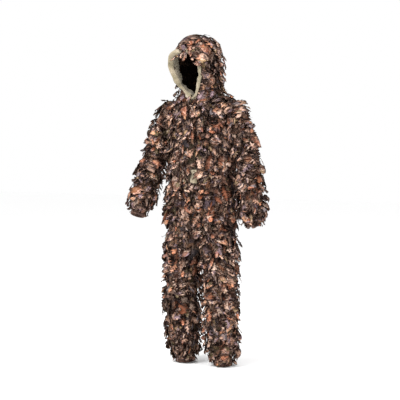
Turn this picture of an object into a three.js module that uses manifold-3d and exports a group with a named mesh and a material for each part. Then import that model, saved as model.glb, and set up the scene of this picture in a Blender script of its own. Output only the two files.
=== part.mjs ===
// Ghillie suit: a hooded, zip-fronted jacket and elastic-waisted trousers of leaf-cut cloth, in the
// shape they take on a standing wearer. Each cloth panel is a thin shell, and each leaf cover is the
// shell of overlapping leaf rows that is sewn to it.
// Millimetres, +Z up. The suit faces -Y and the wearer's left is +X. The origin is the base of the
// wearer's neck, where the shoulders carry the jacket.
import * as THREE from "three";
import { mergeVertices } from "three/addons/utils/BufferGeometryUtils.js";
import Module from "manifold-3d";

const wasm = await Module();
wasm.setup();

// ---- Driving dimensions -------------------------------------------------------------------------
const CLOTH = 3; // thickness of a cloth panel's shell
const GAP = 0.5; // clearance between two pieces that meet
const LEAF_ROOT = 3; // height of a leaf row where it is sewn on
const LEAF_TIP = 13; // height of a leaf row at its hanging tips
const LEAF_FLAT = 6; // height of the leaf rows pressed flat under the jacket
const ROW = 130; // spacing of the leaf rows
const ROW_LEAST = 8; // shortest piece of a row that gets a ring of its own

const CHEST_HALF_WIDTH = 178;
const HEM_Z = -642;
const HEM_BAND = 24;
const THROAT = { y: -94, z: -38 }; // top of the front zip
const FRONT_SLOPE = 0.066; // how far the front moves forward for each millimetre down
const SHOULDER = { x: CHEST_HALF_WIDTH + 8, z: -84 }; // where the sleeve's straight run starts
const ARM = {
  left: { elbow: [CHEST_HALF_WIDTH + 90, -8, -315], wrist: [CHEST_HALF_WIDTH + 149, -50, -650] },
  right: { elbow: [-CHEST_HALF_WIDTH - 94, -20, -310], wrist: [-CHEST_HALF_WIDTH - 122, -150, -612] },
};

const HOOD_HALF_WIDTH = 104;
const HOOD_TOP_Z = 320;
const HOOD_BACK = 118;
const HOOD_STRIP = 104; // width of the hood's centre panel
const FACE_SLANT = 12; // degrees from upright of the plane of the face opening, which starts at the throat
const FACING_EDGE = 15; // the facing's band outside the hood
const FACING_INSIDE = 56; // how far back the facing runs inside the hood
const NAPE = { y: 104, z: 36 }; // where the hood hinges
const NECK_SLANT = 20; // degrees from level of the neck seam

const SLEEVE_R = 60; // radius at the upper arm
const FOREARM_R = 57;
const WRIST_R = 35;
const CUFF = 30; // length of the elastic cuff

const WAIST_Z = -480;
const WAIST_HALF_WIDTH = 156;
const WAISTBAND = 40;
const HIP_HALF_WIDTH = 184;
const HIP_HINGE = { x: 106, y: 4, z: -775 };
const KNEE_HINGE_Y = -2;
const ELBOW_FORWARD = 16; // from the middle of the elbow to its hinge
const LEG_X = 114;
const THIGH_R = 82;
const SHIN_R = 79;
const KNEE_Z = -1045;
const KNEE_BACK = 72; // how far the cloth at the knee reaches back
const ANKLE_Z = -1380; // bottom of the trousers
const ANKLE_R = 47;
const ANKLE_Y = 18;
const ANKLE_CUFF = 34;

const ELASTIC = 1.6; // thickness of the elastic inside a cuff or waistband
const ELASTIC_MARGIN = 7; // casing above and below the elastic

const ELBOW_BEND = 85; // degrees that each hinged place bends
const HIP_BEND = 60;
const KNEE_BEND = 85;
const HOOD_BEND = 70;
const BEND_MARGIN = 7;

const ZIP_WIDTH = 30; // between the two front panels
const ZIP_TAPE = 1.2;
const TEETH_WIDTH = 2.6;
const TEETH_DEPTH = 3;
const TEETH_SPLIT = 1.6; // space between the two rows, where the slider's post runs
const ZIP_START = 8; // from the throat down to the top of the zip
const ZIP_END = 14; // from the lower end of the zip to the hem
const SLIDER = { width: 11, length: 15, plate: 1.4, play: 0.4, fromTop: 16 };
const BAIL = { width: 2.4, thick: 1.6, foot: 2.2, room: 2.6 }; // room is the height under the arch
const PULL = { width: 7, length: 30, thick: 1.6, eye: 4.8, play: 0.6 };
const ZIP_CHANNEL = ZIP_WIDTH / 2; // half of the width left free of leaves over the zip

const BODY_SIDES = 16; // facets round the jacket body, the seat and the hood
const LIMB_SIDES = 10; // facets round a sleeve or a leg
const ROUND = 2; // exponent of a plain ellipse
const BODY_SQUARE = 2.5; // exponent of the body's rounder rectangle

const LEFT = { name: "left", sign: 1 };
const RIGHT = { name: "right", sign: -1 };
const SIDES = [LEFT, RIGHT];

// ---- Solids ---------------------------------------------------------------------------------------
const radians = (degrees) => (degrees * Math.PI) / 180;
const vector = (p) => new THREE.Vector3(...p);

function solidOf(geometry) {
  geometry.deleteAttribute("normal");
  geometry.deleteAttribute("uv");
  const merged = mergeVertices(geometry, 1e-4);
  return new wasm.Manifold(
    new wasm.Mesh({
      numProp: 3,
      vertProperties: merged.attributes.position.array,
      triVerts: new Uint32Array(merged.index.array),
    }),
  );
}

function geometryOf(solid) {
  const mesh = solid.getMesh();
  const geometry = new THREE.BufferGeometry();
  const points = new Float32Array(mesh.numVert * 3);
  for (let i = 0; i < mesh.numVert; i++) {
    points.set(mesh.vertProperties.subarray(i * mesh.numProp, i * mesh.numProp + 3), i * 3);
  }
  geometry.setAttribute("position", new THREE.BufferAttribute(points, 3));
  geometry.setIndex(new THREE.BufferAttribute(new Uint32Array(mesh.triVerts), 1));
  return geometry.toNonIndexed();
}

// A station of a tube: its centre, half width, half depth, and how square its front and back are.
const station = (x, y, z, a, b, front = ROUND, back = front) => ({
  centre: new THREE.Vector3(x, y, z),
  a,
  b,
  front,
  back,
});

// A station of the body given by its front and back faces.
const bodyStation = (z, halfWidth, frontY, backY, front = BODY_SQUARE, back = front) =>
  station(0, (frontY + backY) / 2, z, halfWidth, (backY - frontY) / 2, front, back);

function stationAt(stations, place) {
  const i = Math.min(Math.floor(place), stations.length - 2);
  const [p, q, t] = [stations[i], stations[i + 1], place - i];
  const mix = (key) => p[key] + (q[key] - p[key]) * t;
  return {
    centre: p.centre.clone().lerp(q.centre, t),
    a: mix("a"),
    b: mix("b"),
    front: mix("front"),
    back: mix("back"),
  };
}

// The ring of points of one station, square to the tube's run unless the tube is upright.
function ringPoints(s, tangent, grow, sides) {
  const across = new THREE.Vector3(1, 0, 0).addScaledVector(tangent, -tangent.x).normalize();
  const deep = tangent.clone().cross(across);
  if (deep.y < 0) deep.negate();
  return Array.from({ length: sides }, (_, i) => {
    const angle = (2 * Math.PI * (i + 0.5)) / sides;
    const [c, d] = [Math.cos(angle), Math.sin(angle)];
    const power = 2 / (d < 0 ? s.front : s.back);
    const x = (s.a + grow) * Math.sign(c) * Math.abs(c) ** power;
    const y = (s.b + grow) * Math.sign(d) * Math.abs(d) ** power;
    return s.centre.clone().addScaledVector(across, x).addScaledVector(deep, y);
  });
}

// A closed solid through the stations, top to bottom. grows holds what is added to each radius.
function loft(stations, grows, sides, upright) {
  const rings = stations.map((s, i) => {
    const above = stations[Math.max(i - 1, 0)].centre;
    const below = stations[Math.min(i + 1, stations.length - 1)].centre;
    const run = upright ? new THREE.Vector3(0, 0, 1) : above.clone().sub(below).normalize();
    return ringPoints(s, run, grows[i], sides);
  });
  const points = [];
  const triangle = (p, q, r) => points.push(...p.toArray(), ...q.toArray(), ...r.toArray());
  rings.slice(1).forEach((low, k) => {
    const high = rings[k];
    for (let i = 0; i < sides; i++) {
      const j = (i + 1) % sides;
      triangle(high[i], low[i], low[j]);
      triangle(high[i], low[j], high[j]);
    }
  });
  const [top, bottom] = [rings[0], rings[rings.length - 1]];
  for (let i = 1; i < sides - 1; i++) {
    triangle(top[0], top[i], top[i + 1]);
    triangle(bottom[0], bottom[i + 1], bottom[i]);
  }
  const geometry = new THREE.BufferGeometry();
  geometry.setAttribute("position", new THREE.Float32BufferAttribute(points, 3));
  return solidOf(geometry);
}

// A tube is a list of stations with its number of sides. A closed tube has a crown over its top.
const tube = (stations, sides, { upright = true, closed = false } = {}) => ({
  stations,
  sides,
  upright,
  closed,
});

// The same tube with its ends moved outward along its run, by one length at the top and one below.
function lengthened(t, above, below) {
  const s = t.stations;
  const moved = (end, next, by) => {
    const run = end.centre.clone().sub(next.centre).normalize();
    return { ...end, centre: end.centre.clone().addScaledVector(run, by) };
  };
  const first = moved(s[0], s[1], above);
  const last = moved(s[s.length - 1], s[s.length - 2], below);
  const middle = s.slice(1, -1);
  return { ...t, stations: [first, ...middle, last] };
}
const grown = (t, grow) => loft(t.stations, t.stations.map(() => grow), t.sides, t.upright);
const solidTube = (t, grow) => grown(t.closed ? lengthened(t, grow, 0) : t, grow);

// The tube's inside, a little longer at its open ends.
const boreOf = (t, grow) => grown(lengthened(t, t.closed ? grow : 3, 3), grow);
const shell = (t, inner, outer) => solidTube(t, outer).subtract(boreOf(t, inner));
const clothShell = (t) => shell(t, -CLOTH, 0);
const THICK = (LEAF_ROOT + LEAF_TIP) / 2; // height of the leaves on a soft section
const thickShell = (t) => shell(t, -CLOTH, THICK);

// The shell of leaf rows: each row leaves the cloth at its root and stands away at its tips.
function leafShell(t, tipAt = () => LEAF_TIP) {
  const { stations } = t.closed ? lengthened(t, LEAF_ROOT, 0) : t;
  const rows = [];
  const grows = [];
  let since = 0;
  const add = (place, grow) => {
    rows.push(stationAt(stations, place));
    grows.push(grow);
  };
  add(0, LEAF_ROOT);
  for (let i = 1; i < stations.length; i++) {
    const length = stations[i].centre.distanceTo(stations[i - 1].centre);
    let used = 0;
    while (length - used > ROW - since) {
      used += ROW - since;
      since = 0;
      const place = i - 1 + used / length;
      const tip = tipAt(stationAt(stations, place).centre.z);
      add(place - 0.5 / length, tip);
      add(Math.min(place + 0.5 / length, i), LEAF_ROOT);
    }
    since += length - used;
    const tip = tipAt(stations[i].centre.z);
    if (since > ROW_LEAST) add(i, LEAF_ROOT + ((tip - LEAF_ROOT) * since) / ROW);
  }
  if (since <= ROW_LEAST) add(stations.length - 1, LEAF_ROOT);
  return loft(rows, grows, t.sides, t.upright).subtract(boreOf(t, GAP));
}

// ---- Cuts -------------------------------------------------------------------------------------------
// A plane keeps what lies on its normal's side.
function plane(point, normal) {
  const n = vector(normal).normalize();
  return { n, d: n.dot(vector(point)) };
}
const keep = (solid, p, inset = 0) => solid.trimByPlane(p.n.toArray(), p.d + inset);
const drop = (solid, p, inset = 0) => solid.trimByPlane(p.n.clone().negate().toArray(), -p.d + inset);
const HALF_GAP = GAP / 2;
const keepAll = (solid, ...planes) => planes.reduce((s, p) => keep(s, p, HALF_GAP), solid);
const largest = (solid) => solid.decompose().sort((p, q) => q.volume() - p.volume())[0];
const flip = (p, further = 0) => ({ n: p.n.clone().negate(), d: -p.d - further });

// The two ends of the soft part round a hinge, each square to its bone and opened on the side that
// closes when the joint bends, so that the two rigid parts never meet.
function bendPlanes(hinge, up, down, bendSide, reach, backReach, bend, backBend) {
  const near = reach * Math.tan(radians(bend / 2)) + BEND_MARGIN;
  const far = backReach * Math.tan(radians(backBend / 2)) + BEND_MARGIN;
  const slope = (near - far) / (reach + backReach);
  const rise = near - slope * reach;
  const one = (bone) => {
    const side = vector(bendSide).addScaledVector(bone, -vector(bendSide).dot(bone)).normalize();
    const point = vector(hinge).addScaledVector(bone, rise);
    return plane(point.toArray(), bone.clone().addScaledVector(side, -slope).toArray());
  };
  return { above: one(up), below: one(down) };
}

// ---- The suit ---------------------------------------------------------------------------------------
const suit = new THREE.Group();
const COLOURS = {
  cloth: [0x57493a, 0.95],
  leaves: [0x6b5140, 0.95],
  facing: [0x8d8467, 0.95],
  elastic: [0x2b2723, 0.9],
  tape: [0x3a332a, 0.95],
  metal: [0x4a4138, 0.45],
};

function material(kind) {
  const [color, roughness] = COLOURS[kind];
  return new THREE.MeshStandardMaterial({ color, roughness, metalness: kind === "metal" ? 0.6 : 0 });
}

function add(name, solid, kind, group = suit) {
  const mesh = new THREE.Mesh(geometryOf(solid), material(kind));
  mesh.name = name;
  group.add(mesh);
}

const frontY = (z) => THROAT.y - (THROAT.z - z) * FRONT_SLOPE;

const SHOULDER_SLOPE = [
  bodyStation(-24, CHEST_HALF_WIDTH - 26, frontY(-24), 112),
  bodyStation(-64, CHEST_HALF_WIDTH, frontY(-64), 117),
];

const torso = tube(
  [
    bodyStation(40, 100, -80, 104),
    bodyStation(0, CHEST_HALF_WIDTH - 58, frontY(0), 108),
    ...SHOULDER_SLOPE,
    bodyStation(-170, CHEST_HALF_WIDTH, frontY(-170), 119),
    bodyStation(-360, CHEST_HALF_WIDTH - 4, frontY(-360), 108),
    bodyStation(HEM_Z + 122, CHEST_HALF_WIDTH + 2, frontY(HEM_Z + 122), 114),
    bodyStation(HEM_Z, CHEST_HALF_WIDTH + 12, frontY(HEM_Z), 124),
  ],
  BODY_SIDES,
);

const hood = tube(
  [
    bodyStation(HOOD_TOP_Z, 22, -52, 10, ROUND),
    bodyStation(HOOD_TOP_Z - 12, 60, -106, 56, ROUND),
    bodyStation(HOOD_TOP_Z - 44, 86, -144, 92, ROUND),
    bodyStation(HOOD_TOP_Z - 84, HOOD_HALF_WIDTH - 6, -168, HOOD_BACK - 6, 2.2, ROUND),
    bodyStation(HOOD_TOP_Z - 128, HOOD_HALF_WIDTH, -210, HOOD_BACK, 2.4, ROUND),
    bodyStation(HOOD_TOP_Z - 170, HOOD_HALF_WIDTH, -216, HOOD_BACK, 2.5, ROUND),
    bodyStation(98, HOOD_HALF_WIDTH - 6, -160, HOOD_BACK - 4, 2.3, ROUND),
    bodyStation(34, HOOD_HALF_WIDTH - 4, -118, HOOD_BACK - 8, 2.1, ROUND),
    bodyStation(0, CHEST_HALF_WIDTH - 58, -103, 108),
    ...SHOULDER_SLOPE,
  ],
  BODY_SIDES,
  { closed: true },
);

// A sleeve runs from the shoulder over the elbow to the wrist, and closes in over the cuff.
function sleeveTube({ name, sign }) {
  const { elbow, wrist } = ARM[name];
  const between = (p, q, t) => vector(p).lerp(vector(q), t);
  const at = (c, r) => station(c.x, c.y, c.z, r, r);
  const forearm = vector(wrist).distanceTo(vector(elbow));
  const fromWrist = (mm) => between(elbow, wrist, 1 - mm / forearm);
  return tube(
    [
      station(sign * (SHOULDER.x - 22), 1, SHOULDER.z + 60, 16, 18),
      station(sign * (SHOULDER.x - 17), 1, SHOULDER.z + 50, 38, 40),
      station(sign * (SHOULDER.x - 9), 0, SHOULDER.z + 28, SLEEVE_R - 6, SLEEVE_R - 5),
      at(vector([sign * SHOULDER.x, 0, SHOULDER.z]), SLEEVE_R),
      at(vector(elbow), SLEEVE_R - 3),
      at(fromWrist(CUFF + 60), FOREARM_R + 5),
      at(fromWrist(CUFF + 18), FOREARM_R - 3),
      at(fromWrist(CUFF), WRIST_R),
      at(vector(wrist), WRIST_R),
    ],
    LIMB_SIDES,
    { upright: false, closed: true },
  );
}

const seat = tube(
  [
    bodyStation(WAIST_Z, WAIST_HALF_WIDTH, -102, 90),
    bodyStation(WAIST_Z - WAISTBAND, WAIST_HALF_WIDTH, -103, 92),
    bodyStation(WAIST_Z - 142, HIP_HALF_WIDTH - 14, -114, 108),
    bodyStation(WAIST_Z - 192, HIP_HALF_WIDTH, -118, 112),
    bodyStation(HIP_HINGE.z - 70, HIP_HALF_WIDTH, -112, 108),
  ],
  BODY_SIDES,
);

// A trouser leg runs from the hip to the ankle cuff. Its upper end lies against the seat.
const legTube = ({ sign }) =>
  tube(
    [
      station(sign * 97, -3, -680, 87, 113, BODY_SQUARE),
      station(sign * 98, -3, HIP_HINGE.z, 88, 109, BODY_SQUARE),
      station(sign * (LEG_X - 10), -5, -850, 86, 98),
      station(sign * LEG_X, -12, -940, THIGH_R, 89),
      station(sign * LEG_X, KNEE_BACK - 86, KNEE_Z, THIGH_R - 1, 86),
      station(sign * LEG_X, 2, ANKLE_Z + 150, SHIN_R, 83),
      station(sign * LEG_X, 14, ANKLE_Z + ANKLE_CUFF + 44, SHIN_R - 6, 77),
      station(sign * LEG_X, ANKLE_Y, ANKLE_Z + ANKLE_CUFF, ANKLE_R, ANKLE_R + 3),
      station(sign * LEG_X, ANKLE_Y, ANKLE_Z, ANKLE_R, ANKLE_R + 3),
    ],
    LIMB_SIDES,
  );

const centreLine = (side) => plane([0, 0, 0], [side.sign, 0, 0]);
const SIDE_SEAM_Y = 2;
const inFront = plane([0, SIDE_SEAM_Y, 0], [0, -1, 0]);
const behind = flip(inFront);
const hemLine = plane([0, 0, HEM_Z + HEM_BAND], [0, 0, 1]);

// The seams below and above the soft neck section, which slant down to the throat.
const neckUp = new THREE.Vector3(0, -Math.sin(radians(NECK_SLANT)), Math.cos(radians(NECK_SLANT)));
const neck = bendPlanes(
  [0, NAPE.y, NAPE.z],
  neckUp,
  neckUp.clone().negate(),
  [0, 1, 0],
  HOOD_BACK + LEAF_TIP - NAPE.y,
  NAPE.y - THROAT.y,
  HOOD_BEND,
  0,
);

// The plane of the face opening, or a plane that many millimetres behind it.
const facePlane = (back) => {
  const [s, c] = [Math.sin(radians(FACE_SLANT)), Math.cos(radians(FACE_SLANT))];
  return plane([0, THROAT.y + back * c, THROAT.z + back * s], [0, c, s]);
};

function buildJacketBody(sleeves) {
  const armholes = sleeves.map((s) => solidTube(s, GAP));
  const cutArmholes = (solid) => armholes.reduce((rest, s) => rest.subtract(s), solid);
  const panels = keepAll(cutArmholes(clothShell(torso)), hemLine, neck.below);
  add("jacket_back_panel", keepAll(panels, behind), "cloth");
  const thickSleeves = sleeves.map((s) => solidTube(s, LEAF_TIP + GAP));
  const cover = thickSleeves.reduce((rest, s) => rest.subtract(s), leafShell(torso));
  const leaves = keepAll(cover, neck.below);
  add("leaf_cover_back", largest(keepAll(leaves, behind)), "leaves");
  for (const side of SIDES) {
    const besideZip = plane([(side.sign * ZIP_WIDTH) / 2, 0, 0], [side.sign, 0, 0]);
    const besideChannel = plane([side.sign * ZIP_CHANNEL, 0, 0], [side.sign, 0, 0]);
    add(`jacket_front_panel_${side.name}`, keepAll(panels, inFront, besideZip), "cloth");
    const frontLeaves = largest(keepAll(leaves, inFront, besideChannel));
    add(`leaf_cover_front_${side.name}`, frontLeaves, "leaves");
  }
  const zipSlot = new THREE.BoxGeometry(ZIP_WIDTH, 60, 80);
  zipSlot.translate(0, frontY(HEM_Z), HEM_Z);
  const band = drop(shell(torso, -CLOTH, 0), hemLine, HALF_GAP).subtract(solidOf(zipSlot));
  add("jacket_hem_band", band, "cloth");
}

// The binding that covers the neck seam inside the collar, open at the throat.
function buildNeckTape() {
  const ring = shell(torso, -CLOTH - GAP - 2, -CLOTH - GAP);
  const slot = new THREE.BoxGeometry(ZIP_WIDTH + 20, 80, 120);
  slot.translate(0, THROAT.y, THROAT.z);
  const strip = keepAll(ring, neck.below, flip(neck.below, 20)).subtract(solidOf(slot));
  add("neck_tape", largest(strip), "tape");
}

// The hood: two sides and a centre strip over the crown, a facing round the opening, leaf rows, and
// the soft neck section between the hood and the collar.
function buildHood(sleeves) {
  const cloth = keepAll(clothShell(hood), neck.above, facePlane(FACING_EDGE));
  const besideStrip = (side) => plane([(side.sign * HOOD_STRIP) / 2, 0, 0], [side.sign, 0, 0]);
  for (const side of SIDES) {
    add(`hood_side_panel_${side.name}`, keepAll(cloth, besideStrip(side)), "cloth");
  }
  const strip = SIDES.reduce((s, side) => drop(s, besideStrip(side), HALF_GAP), cloth);
  add("hood_centre_panel", largest(strip), "cloth");

  const inner = -CLOTH - GAP;
  const rim = keepAll(drop(shell(hood, inner - 2, 0), facePlane(FACING_EDGE), HALF_GAP), facePlane(0));
  const band = drop(shell(hood, inner - 2, inner), facePlane(FACING_INSIDE), HALF_GAP);
  const facing = rim.add(keepAll(band, facePlane(FACING_EDGE - 2)));
  add("hood_facing", keepAll(facing, neck.above), "facing");

  const leaves = keepAll(leafShell(hood, () => LEAF_TIP - 2), facePlane(FACING_EDGE + 5), neck.above);
  add("leaf_cover_hood", largest(leaves), "leaves");

  const collar = drop(shell(hood, -CLOTH, LEAF_ROOT), neck.above, HALF_GAP);
  const clearOfSleeves = sleeves.reduce((rest, s) => rest.subtract(solidTube(s, THICK + GAP)), collar);
  const neckSection = keepAll(drop(clearOfSleeves, neck.below, HALF_GAP), facePlane(0));
  add("hood_neck_section", largest(neckSection), "cloth");
}

function buildSleeve(side, sleeve) {
  const { elbow, wrist } = ARM[side.name];
  const up = vector([side.sign * SHOULDER.x, 0, SHOULDER.z]).sub(vector(elbow)).normalize();
  const down = vector(wrist).sub(vector(elbow)).normalize();
  const reach = SLEEVE_R - ELBOW_FORWARD + LEAF_TIP;
  const backReach = SLEEVE_R + ELBOW_FORWARD;
  const hinge = vector(elbow).add(new THREE.Vector3(0, -ELBOW_FORWARD, 0)).toArray();
  const bend = bendPlanes(hinge, up, down, [0, -1, 0], reach, backReach, ELBOW_BEND, 6);
  const shoulderEnd = plane([side.sign * SHOULDER.x, 0, SHOULDER.z - 8], [-side.sign * 0.62, 0, 1]);
  const cuffStart = plane(vector(wrist).addScaledVector(down, -CUFF).toArray(), down.toArray());
  const cloth = clothShell(sleeve);
  const thick = thickShell(sleeve);
  const leaves = leafShell(sleeve);
  const outsideBody = solidTube(torso, GAP);
  const outsideLeaves = solidTube(torso, LEAF_TIP + GAP);

  const cap = keepAll(thick, shoulderEnd).subtract(outsideBody);
  add(`shoulder_section_${side.name}`, largest(cap), "cloth");
  const upper = drop(cloth, shoulderEnd, HALF_GAP).subtract(outsideBody);
  add(`sleeve_upper_${side.name}`, largest(keepAll(upper, bend.above)), "cloth");
  const upperLeaves = drop(leaves, shoulderEnd, HALF_GAP).subtract(outsideLeaves);
  add(`leaf_cover_sleeve_upper_${side.name}`, largest(keepAll(upperLeaves, bend.above)), "leaves");
  const elbowPart = drop(drop(thick, bend.above, HALF_GAP), bend.below, HALF_GAP);
  add(`elbow_section_${side.name}`, elbowPart, "cloth");
  const lower = drop(keepAll(cloth, bend.below), cuffStart, HALF_GAP);
  add(`sleeve_lower_${side.name}`, lower, "cloth");
  const lowerLeaves = drop(keepAll(leaves, bend.below), cuffStart, HALF_GAP + 2);
  add(`leaf_cover_sleeve_lower_${side.name}`, largest(lowerLeaves), "leaves");
  const cuffTop = vector(wrist).addScaledVector(down, -CUFF);
  addCuff(`cuff_${side.name}`, `cuff_elastic_${side.name}`, cuffTop, vector(wrist), WRIST_R, WRIST_R);
}

// A cuff is a folded casing with a slot inside it, and a band of elastic that lies in the slot.
function addCuff(casingName, elasticName, from, to, a, b) {
  const run = to.clone().sub(from).normalize();
  const upright = Math.abs(run.z) > 0.999;
  // A ring between two heights above the band of elastic and two growths of the radius.
  const ring = (inner, outer, longer) => {
    const inset = ELASTIC_MARGIN - longer;
    const ends = [from.clone().addScaledVector(run, inset), to.clone().addScaledVector(run, -inset)];
    const band = tube(ends.map((c) => station(c.x, c.y, c.z, a, b)), LIMB_SIDES, { upright });
    return shell(band, inner, outer);
  };
  const slot = ring(-CLOTH - 2 * ELASTIC, -CLOTH / 2, GAP);
  const casing = ring(-CLOTH - ELASTIC, 0, ELASTIC_MARGIN - HALF_GAP);
  add(casingName, casing.subtract(slot), "elastic");
  add(elasticName, ring(-CLOTH / 2 - GAP - ELASTIC, -CLOTH / 2 - GAP, 0), "elastic");
}

function buildSeat() {
  const belowBand = plane([0, 0, WAIST_Z - WAISTBAND], [0, 0, -1]);
  const cloth = keepAll(clothShell(seat), belowBand);
  const flatUnderJacket = (z) => (z > HEM_Z - 12 ? LEAF_FLAT : LEAF_TIP);
  const leaves = keepAll(leafShell(seat, flatUnderJacket), plane([0, 0, WAIST_Z - WAISTBAND - 18], [0, 0, -1]));
  for (const side of SIDES) {
    const { above } = hipPlanes(side);
    add(`trouser_seat_${side.name}`, keepAll(cloth, centreLine(side), above), "cloth");
    add(`leaf_cover_seat_${side.name}`, keepAll(leaves, centreLine(side), above), "leaves");
  }
  const waist = drop(shell(seat, -CLOTH - 2, 0), belowBand, HALF_GAP);
  const rib = (inner, outer, margin) => {
    const [a, b] = [WAIST_Z - ELASTIC_MARGIN + margin, WAIST_Z - WAISTBAND + ELASTIC_MARGIN - margin];
    const stations = [a, b].map((z) => bodyStation(z, WAIST_HALF_WIDTH, -102.5, 91));
    return solidTube(tube(stations, BODY_SIDES), outer).subtract(boreOf(tube(stations, BODY_SIDES), inner));
  };
  add("waistband_casing", waist.subtract(rib(-CLOTH - 6, -CLOTH / 2, GAP)), "cloth");
  add("waist_elastic", rib(-CLOTH / 2 - GAP - ELASTIC, -CLOTH / 2 - GAP, 0), "elastic");
}

const hipPlanes = (side) =>
  bendPlanes(
    [side.sign * HIP_HINGE.x, HIP_HINGE.y, HIP_HINGE.z],
    new THREE.Vector3(0, 0, 1),
    new THREE.Vector3(0, 0, -1),
    [0, -1, 0],
    112 + LEAF_TIP + HIP_HINGE.y,
    112 + LEAF_TIP - HIP_HINGE.y,
    HIP_BEND,
    0,
  );

function buildLeg(side) {
  const leg = legTube(side);
  const hip = hipPlanes(side);
  const up = new THREE.Vector3(0, 0, 1);
  const knee = bendPlanes(
    [side.sign * LEG_X, KNEE_HINGE_Y, KNEE_Z],
    up,
    up.clone().negate(),
    [0, 1, 0],
    KNEE_BACK + LEAF_TIP - KNEE_HINGE_Y,
    KNEE_BACK + LEAF_TIP + KNEE_HINGE_Y,
    KNEE_BEND,
    6,
  );
  const cuffStart = plane([0, 0, ANKLE_Z + ANKLE_CUFF], [0, 0, -1]);
  const cloth = keepAll(clothShell(leg), centreLine(side));
  const thick = keepAll(thickShell(leg), centreLine(side));
  const leaves = keepAll(leafShell(leg), centreLine(side));
  const hipPart = drop(drop(thick, hip.above, HALF_GAP), hip.below, HALF_GAP);
  add(`hip_section_${side.name}`, hipPart, "cloth");
  add(`trouser_thigh_${side.name}`, keepAll(cloth, hip.below, knee.above), "cloth");
  add(`leaf_cover_thigh_${side.name}`, keepAll(leaves, hip.below, knee.above), "leaves");
  const kneePart = drop(drop(thick, knee.above, HALF_GAP), knee.below, HALF_GAP);
  add(`knee_section_${side.name}`, kneePart, "cloth");
  add(`trouser_shin_${side.name}`, drop(keepAll(cloth, knee.below), cuffStart, HALF_GAP), "cloth");
  const shinLeaves = drop(keepAll(leaves, knee.below), cuffStart, HALF_GAP + 2);
  add(`leaf_cover_shin_${side.name}`, shinLeaves, "leaves");
  const ankle = (z) => new THREE.Vector3(side.sign * LEG_X, ANKLE_Y, z);
  const [top, bottom] = [ankle(ANKLE_Z + ANKLE_CUFF), ankle(ANKLE_Z)];
  addCuff(`ankle_cuff_${side.name}`, `ankle_elastic_${side.name}`, top, bottom, ANKLE_R, ANKLE_R + 3);
}

// The front zip, in a group that leans with the front. Its own -Z runs down the zip.
function buildZip() {
  const zip = new THREE.Group();
  zip.position.set(0, frontY(THROAT.z - ZIP_START), THROAT.z - ZIP_START);
  zip.rotation.x = -Math.atan(FRONT_SLOPE);
  suit.add(zip);
  const length = (THROAT.z - ZIP_START - HEM_Z - ZIP_END) * Math.hypot(1, FRONT_SLOPE);
  const box = (x, y, z, width, depth, height) => {
    const geometry = new THREE.BoxGeometry(width, depth, height);
    geometry.translate(x, y, z);
    return solidOf(geometry);
  };
  const middle = CLOTH / 2; // the tape lies in the middle of the cloth's thickness
  const teethEdge = TEETH_SPLIT / 2 + TEETH_WIDTH;
  const tapeWidth = ZIP_WIDTH / 2 - teethEdge - 2 * GAP;
  for (const { name, sign } of SIDES) {
    const teethX = (TEETH_SPLIT + TEETH_WIDTH) / 2;
    const tapeX = teethEdge + GAP + tapeWidth / 2;
    const tape = box(sign * tapeX, middle, -length / 2, tapeWidth, ZIP_TAPE, length);
    add(`zip_tape_${name}`, tape, "tape", zip);
    const teeth = box(sign * teethX, middle, -length / 2, TEETH_WIDTH, TEETH_DEPTH, length - 8);
    add(`zip_teeth_${name}`, teeth, "metal", zip);
  }
  const boxHeight = 9;
  const retainer = box(0, middle, -length + 4 - GAP - boxHeight / 2, 2 * teethEdge - 0.6, 5, boxHeight);
  add("zip_bottom_box", retainer, "metal", zip);
  const guard = box(0, middle + TEETH_DEPTH / 2 + 5, -length / 2 - 6, ZIP_WIDTH + 18, 1.6, length - 24);
  add("zip_guard_flap", guard, "cloth", zip);
  buildSlider(zip, box, middle);
}

// The slider has a plate before and behind the teeth, joined by a post that runs between the rows,
// and an arched bail in front that the pull's top bar hangs under.
function buildSlider(zip, box, middle) {
  const { width, length, plate, play } = SLIDER;
  const z = -SLIDER.fromTop - length / 2;
  const space = TEETH_DEPTH / 2 + play;
  const plateAt = (y) => box(0, y, z, width, plate, length);
  const back = plateAt(middle + space + plate / 2);
  const front = plateAt(middle - space - plate / 2);
  const post = box(0, middle, z + length / 2 - 3, TEETH_SPLIT - 2 * play, 2 * space + 0.2, 5);
  const face = middle - space - plate;
  const hinge = face - BAIL.room / 2;
  const archHeight = 2 * BAIL.foot + PULL.eye;
  const arch = box(0, face - BAIL.room - BAIL.thick / 2, z, BAIL.width, BAIL.thick, archHeight);
  const feet = [1, -1].map((end) => {
    const footZ = z + (end * (archHeight - BAIL.foot)) / 2;
    return box(0, face - BAIL.room / 2, footZ, BAIL.width, BAIL.room + 0.4, BAIL.foot);
  });
  add("zip_slider", [back, post, arch, ...feet].reduce((s, p) => s.add(p), front), "metal", zip);

  const tabZ = z + PULL.thick / 2 - PULL.length / 2;
  const eyeZ = z - PULL.thick / 2 - PULL.eye / 2;
  const eye = box(0, hinge, eyeZ, BAIL.width + 2 * PULL.play, 2 * PULL.thick, PULL.eye);
  const tab = box(0, hinge, tabZ, PULL.width, PULL.thick, PULL.length).subtract(eye);
  add("zip_pull", tab, "metal", zip);
}

const sleeves = SIDES.map(sleeveTube);
buildJacketBody(sleeves);
buildNeckTape();
buildHood(sleeves);
SIDES.forEach((side, i) => buildSleeve(side, sleeves[i]));
buildSeat();
SIDES.forEach(buildLeg);
buildZip();

export default suit;
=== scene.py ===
"""Looks for the ghillie suit: printed cloth, rows of cut leaves, hood facing, zip and elastic bands."""

import itertools
import math

import bpy
import numpy as np
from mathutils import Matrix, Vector
from mathutils.bvhtree import BVHTree


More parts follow.
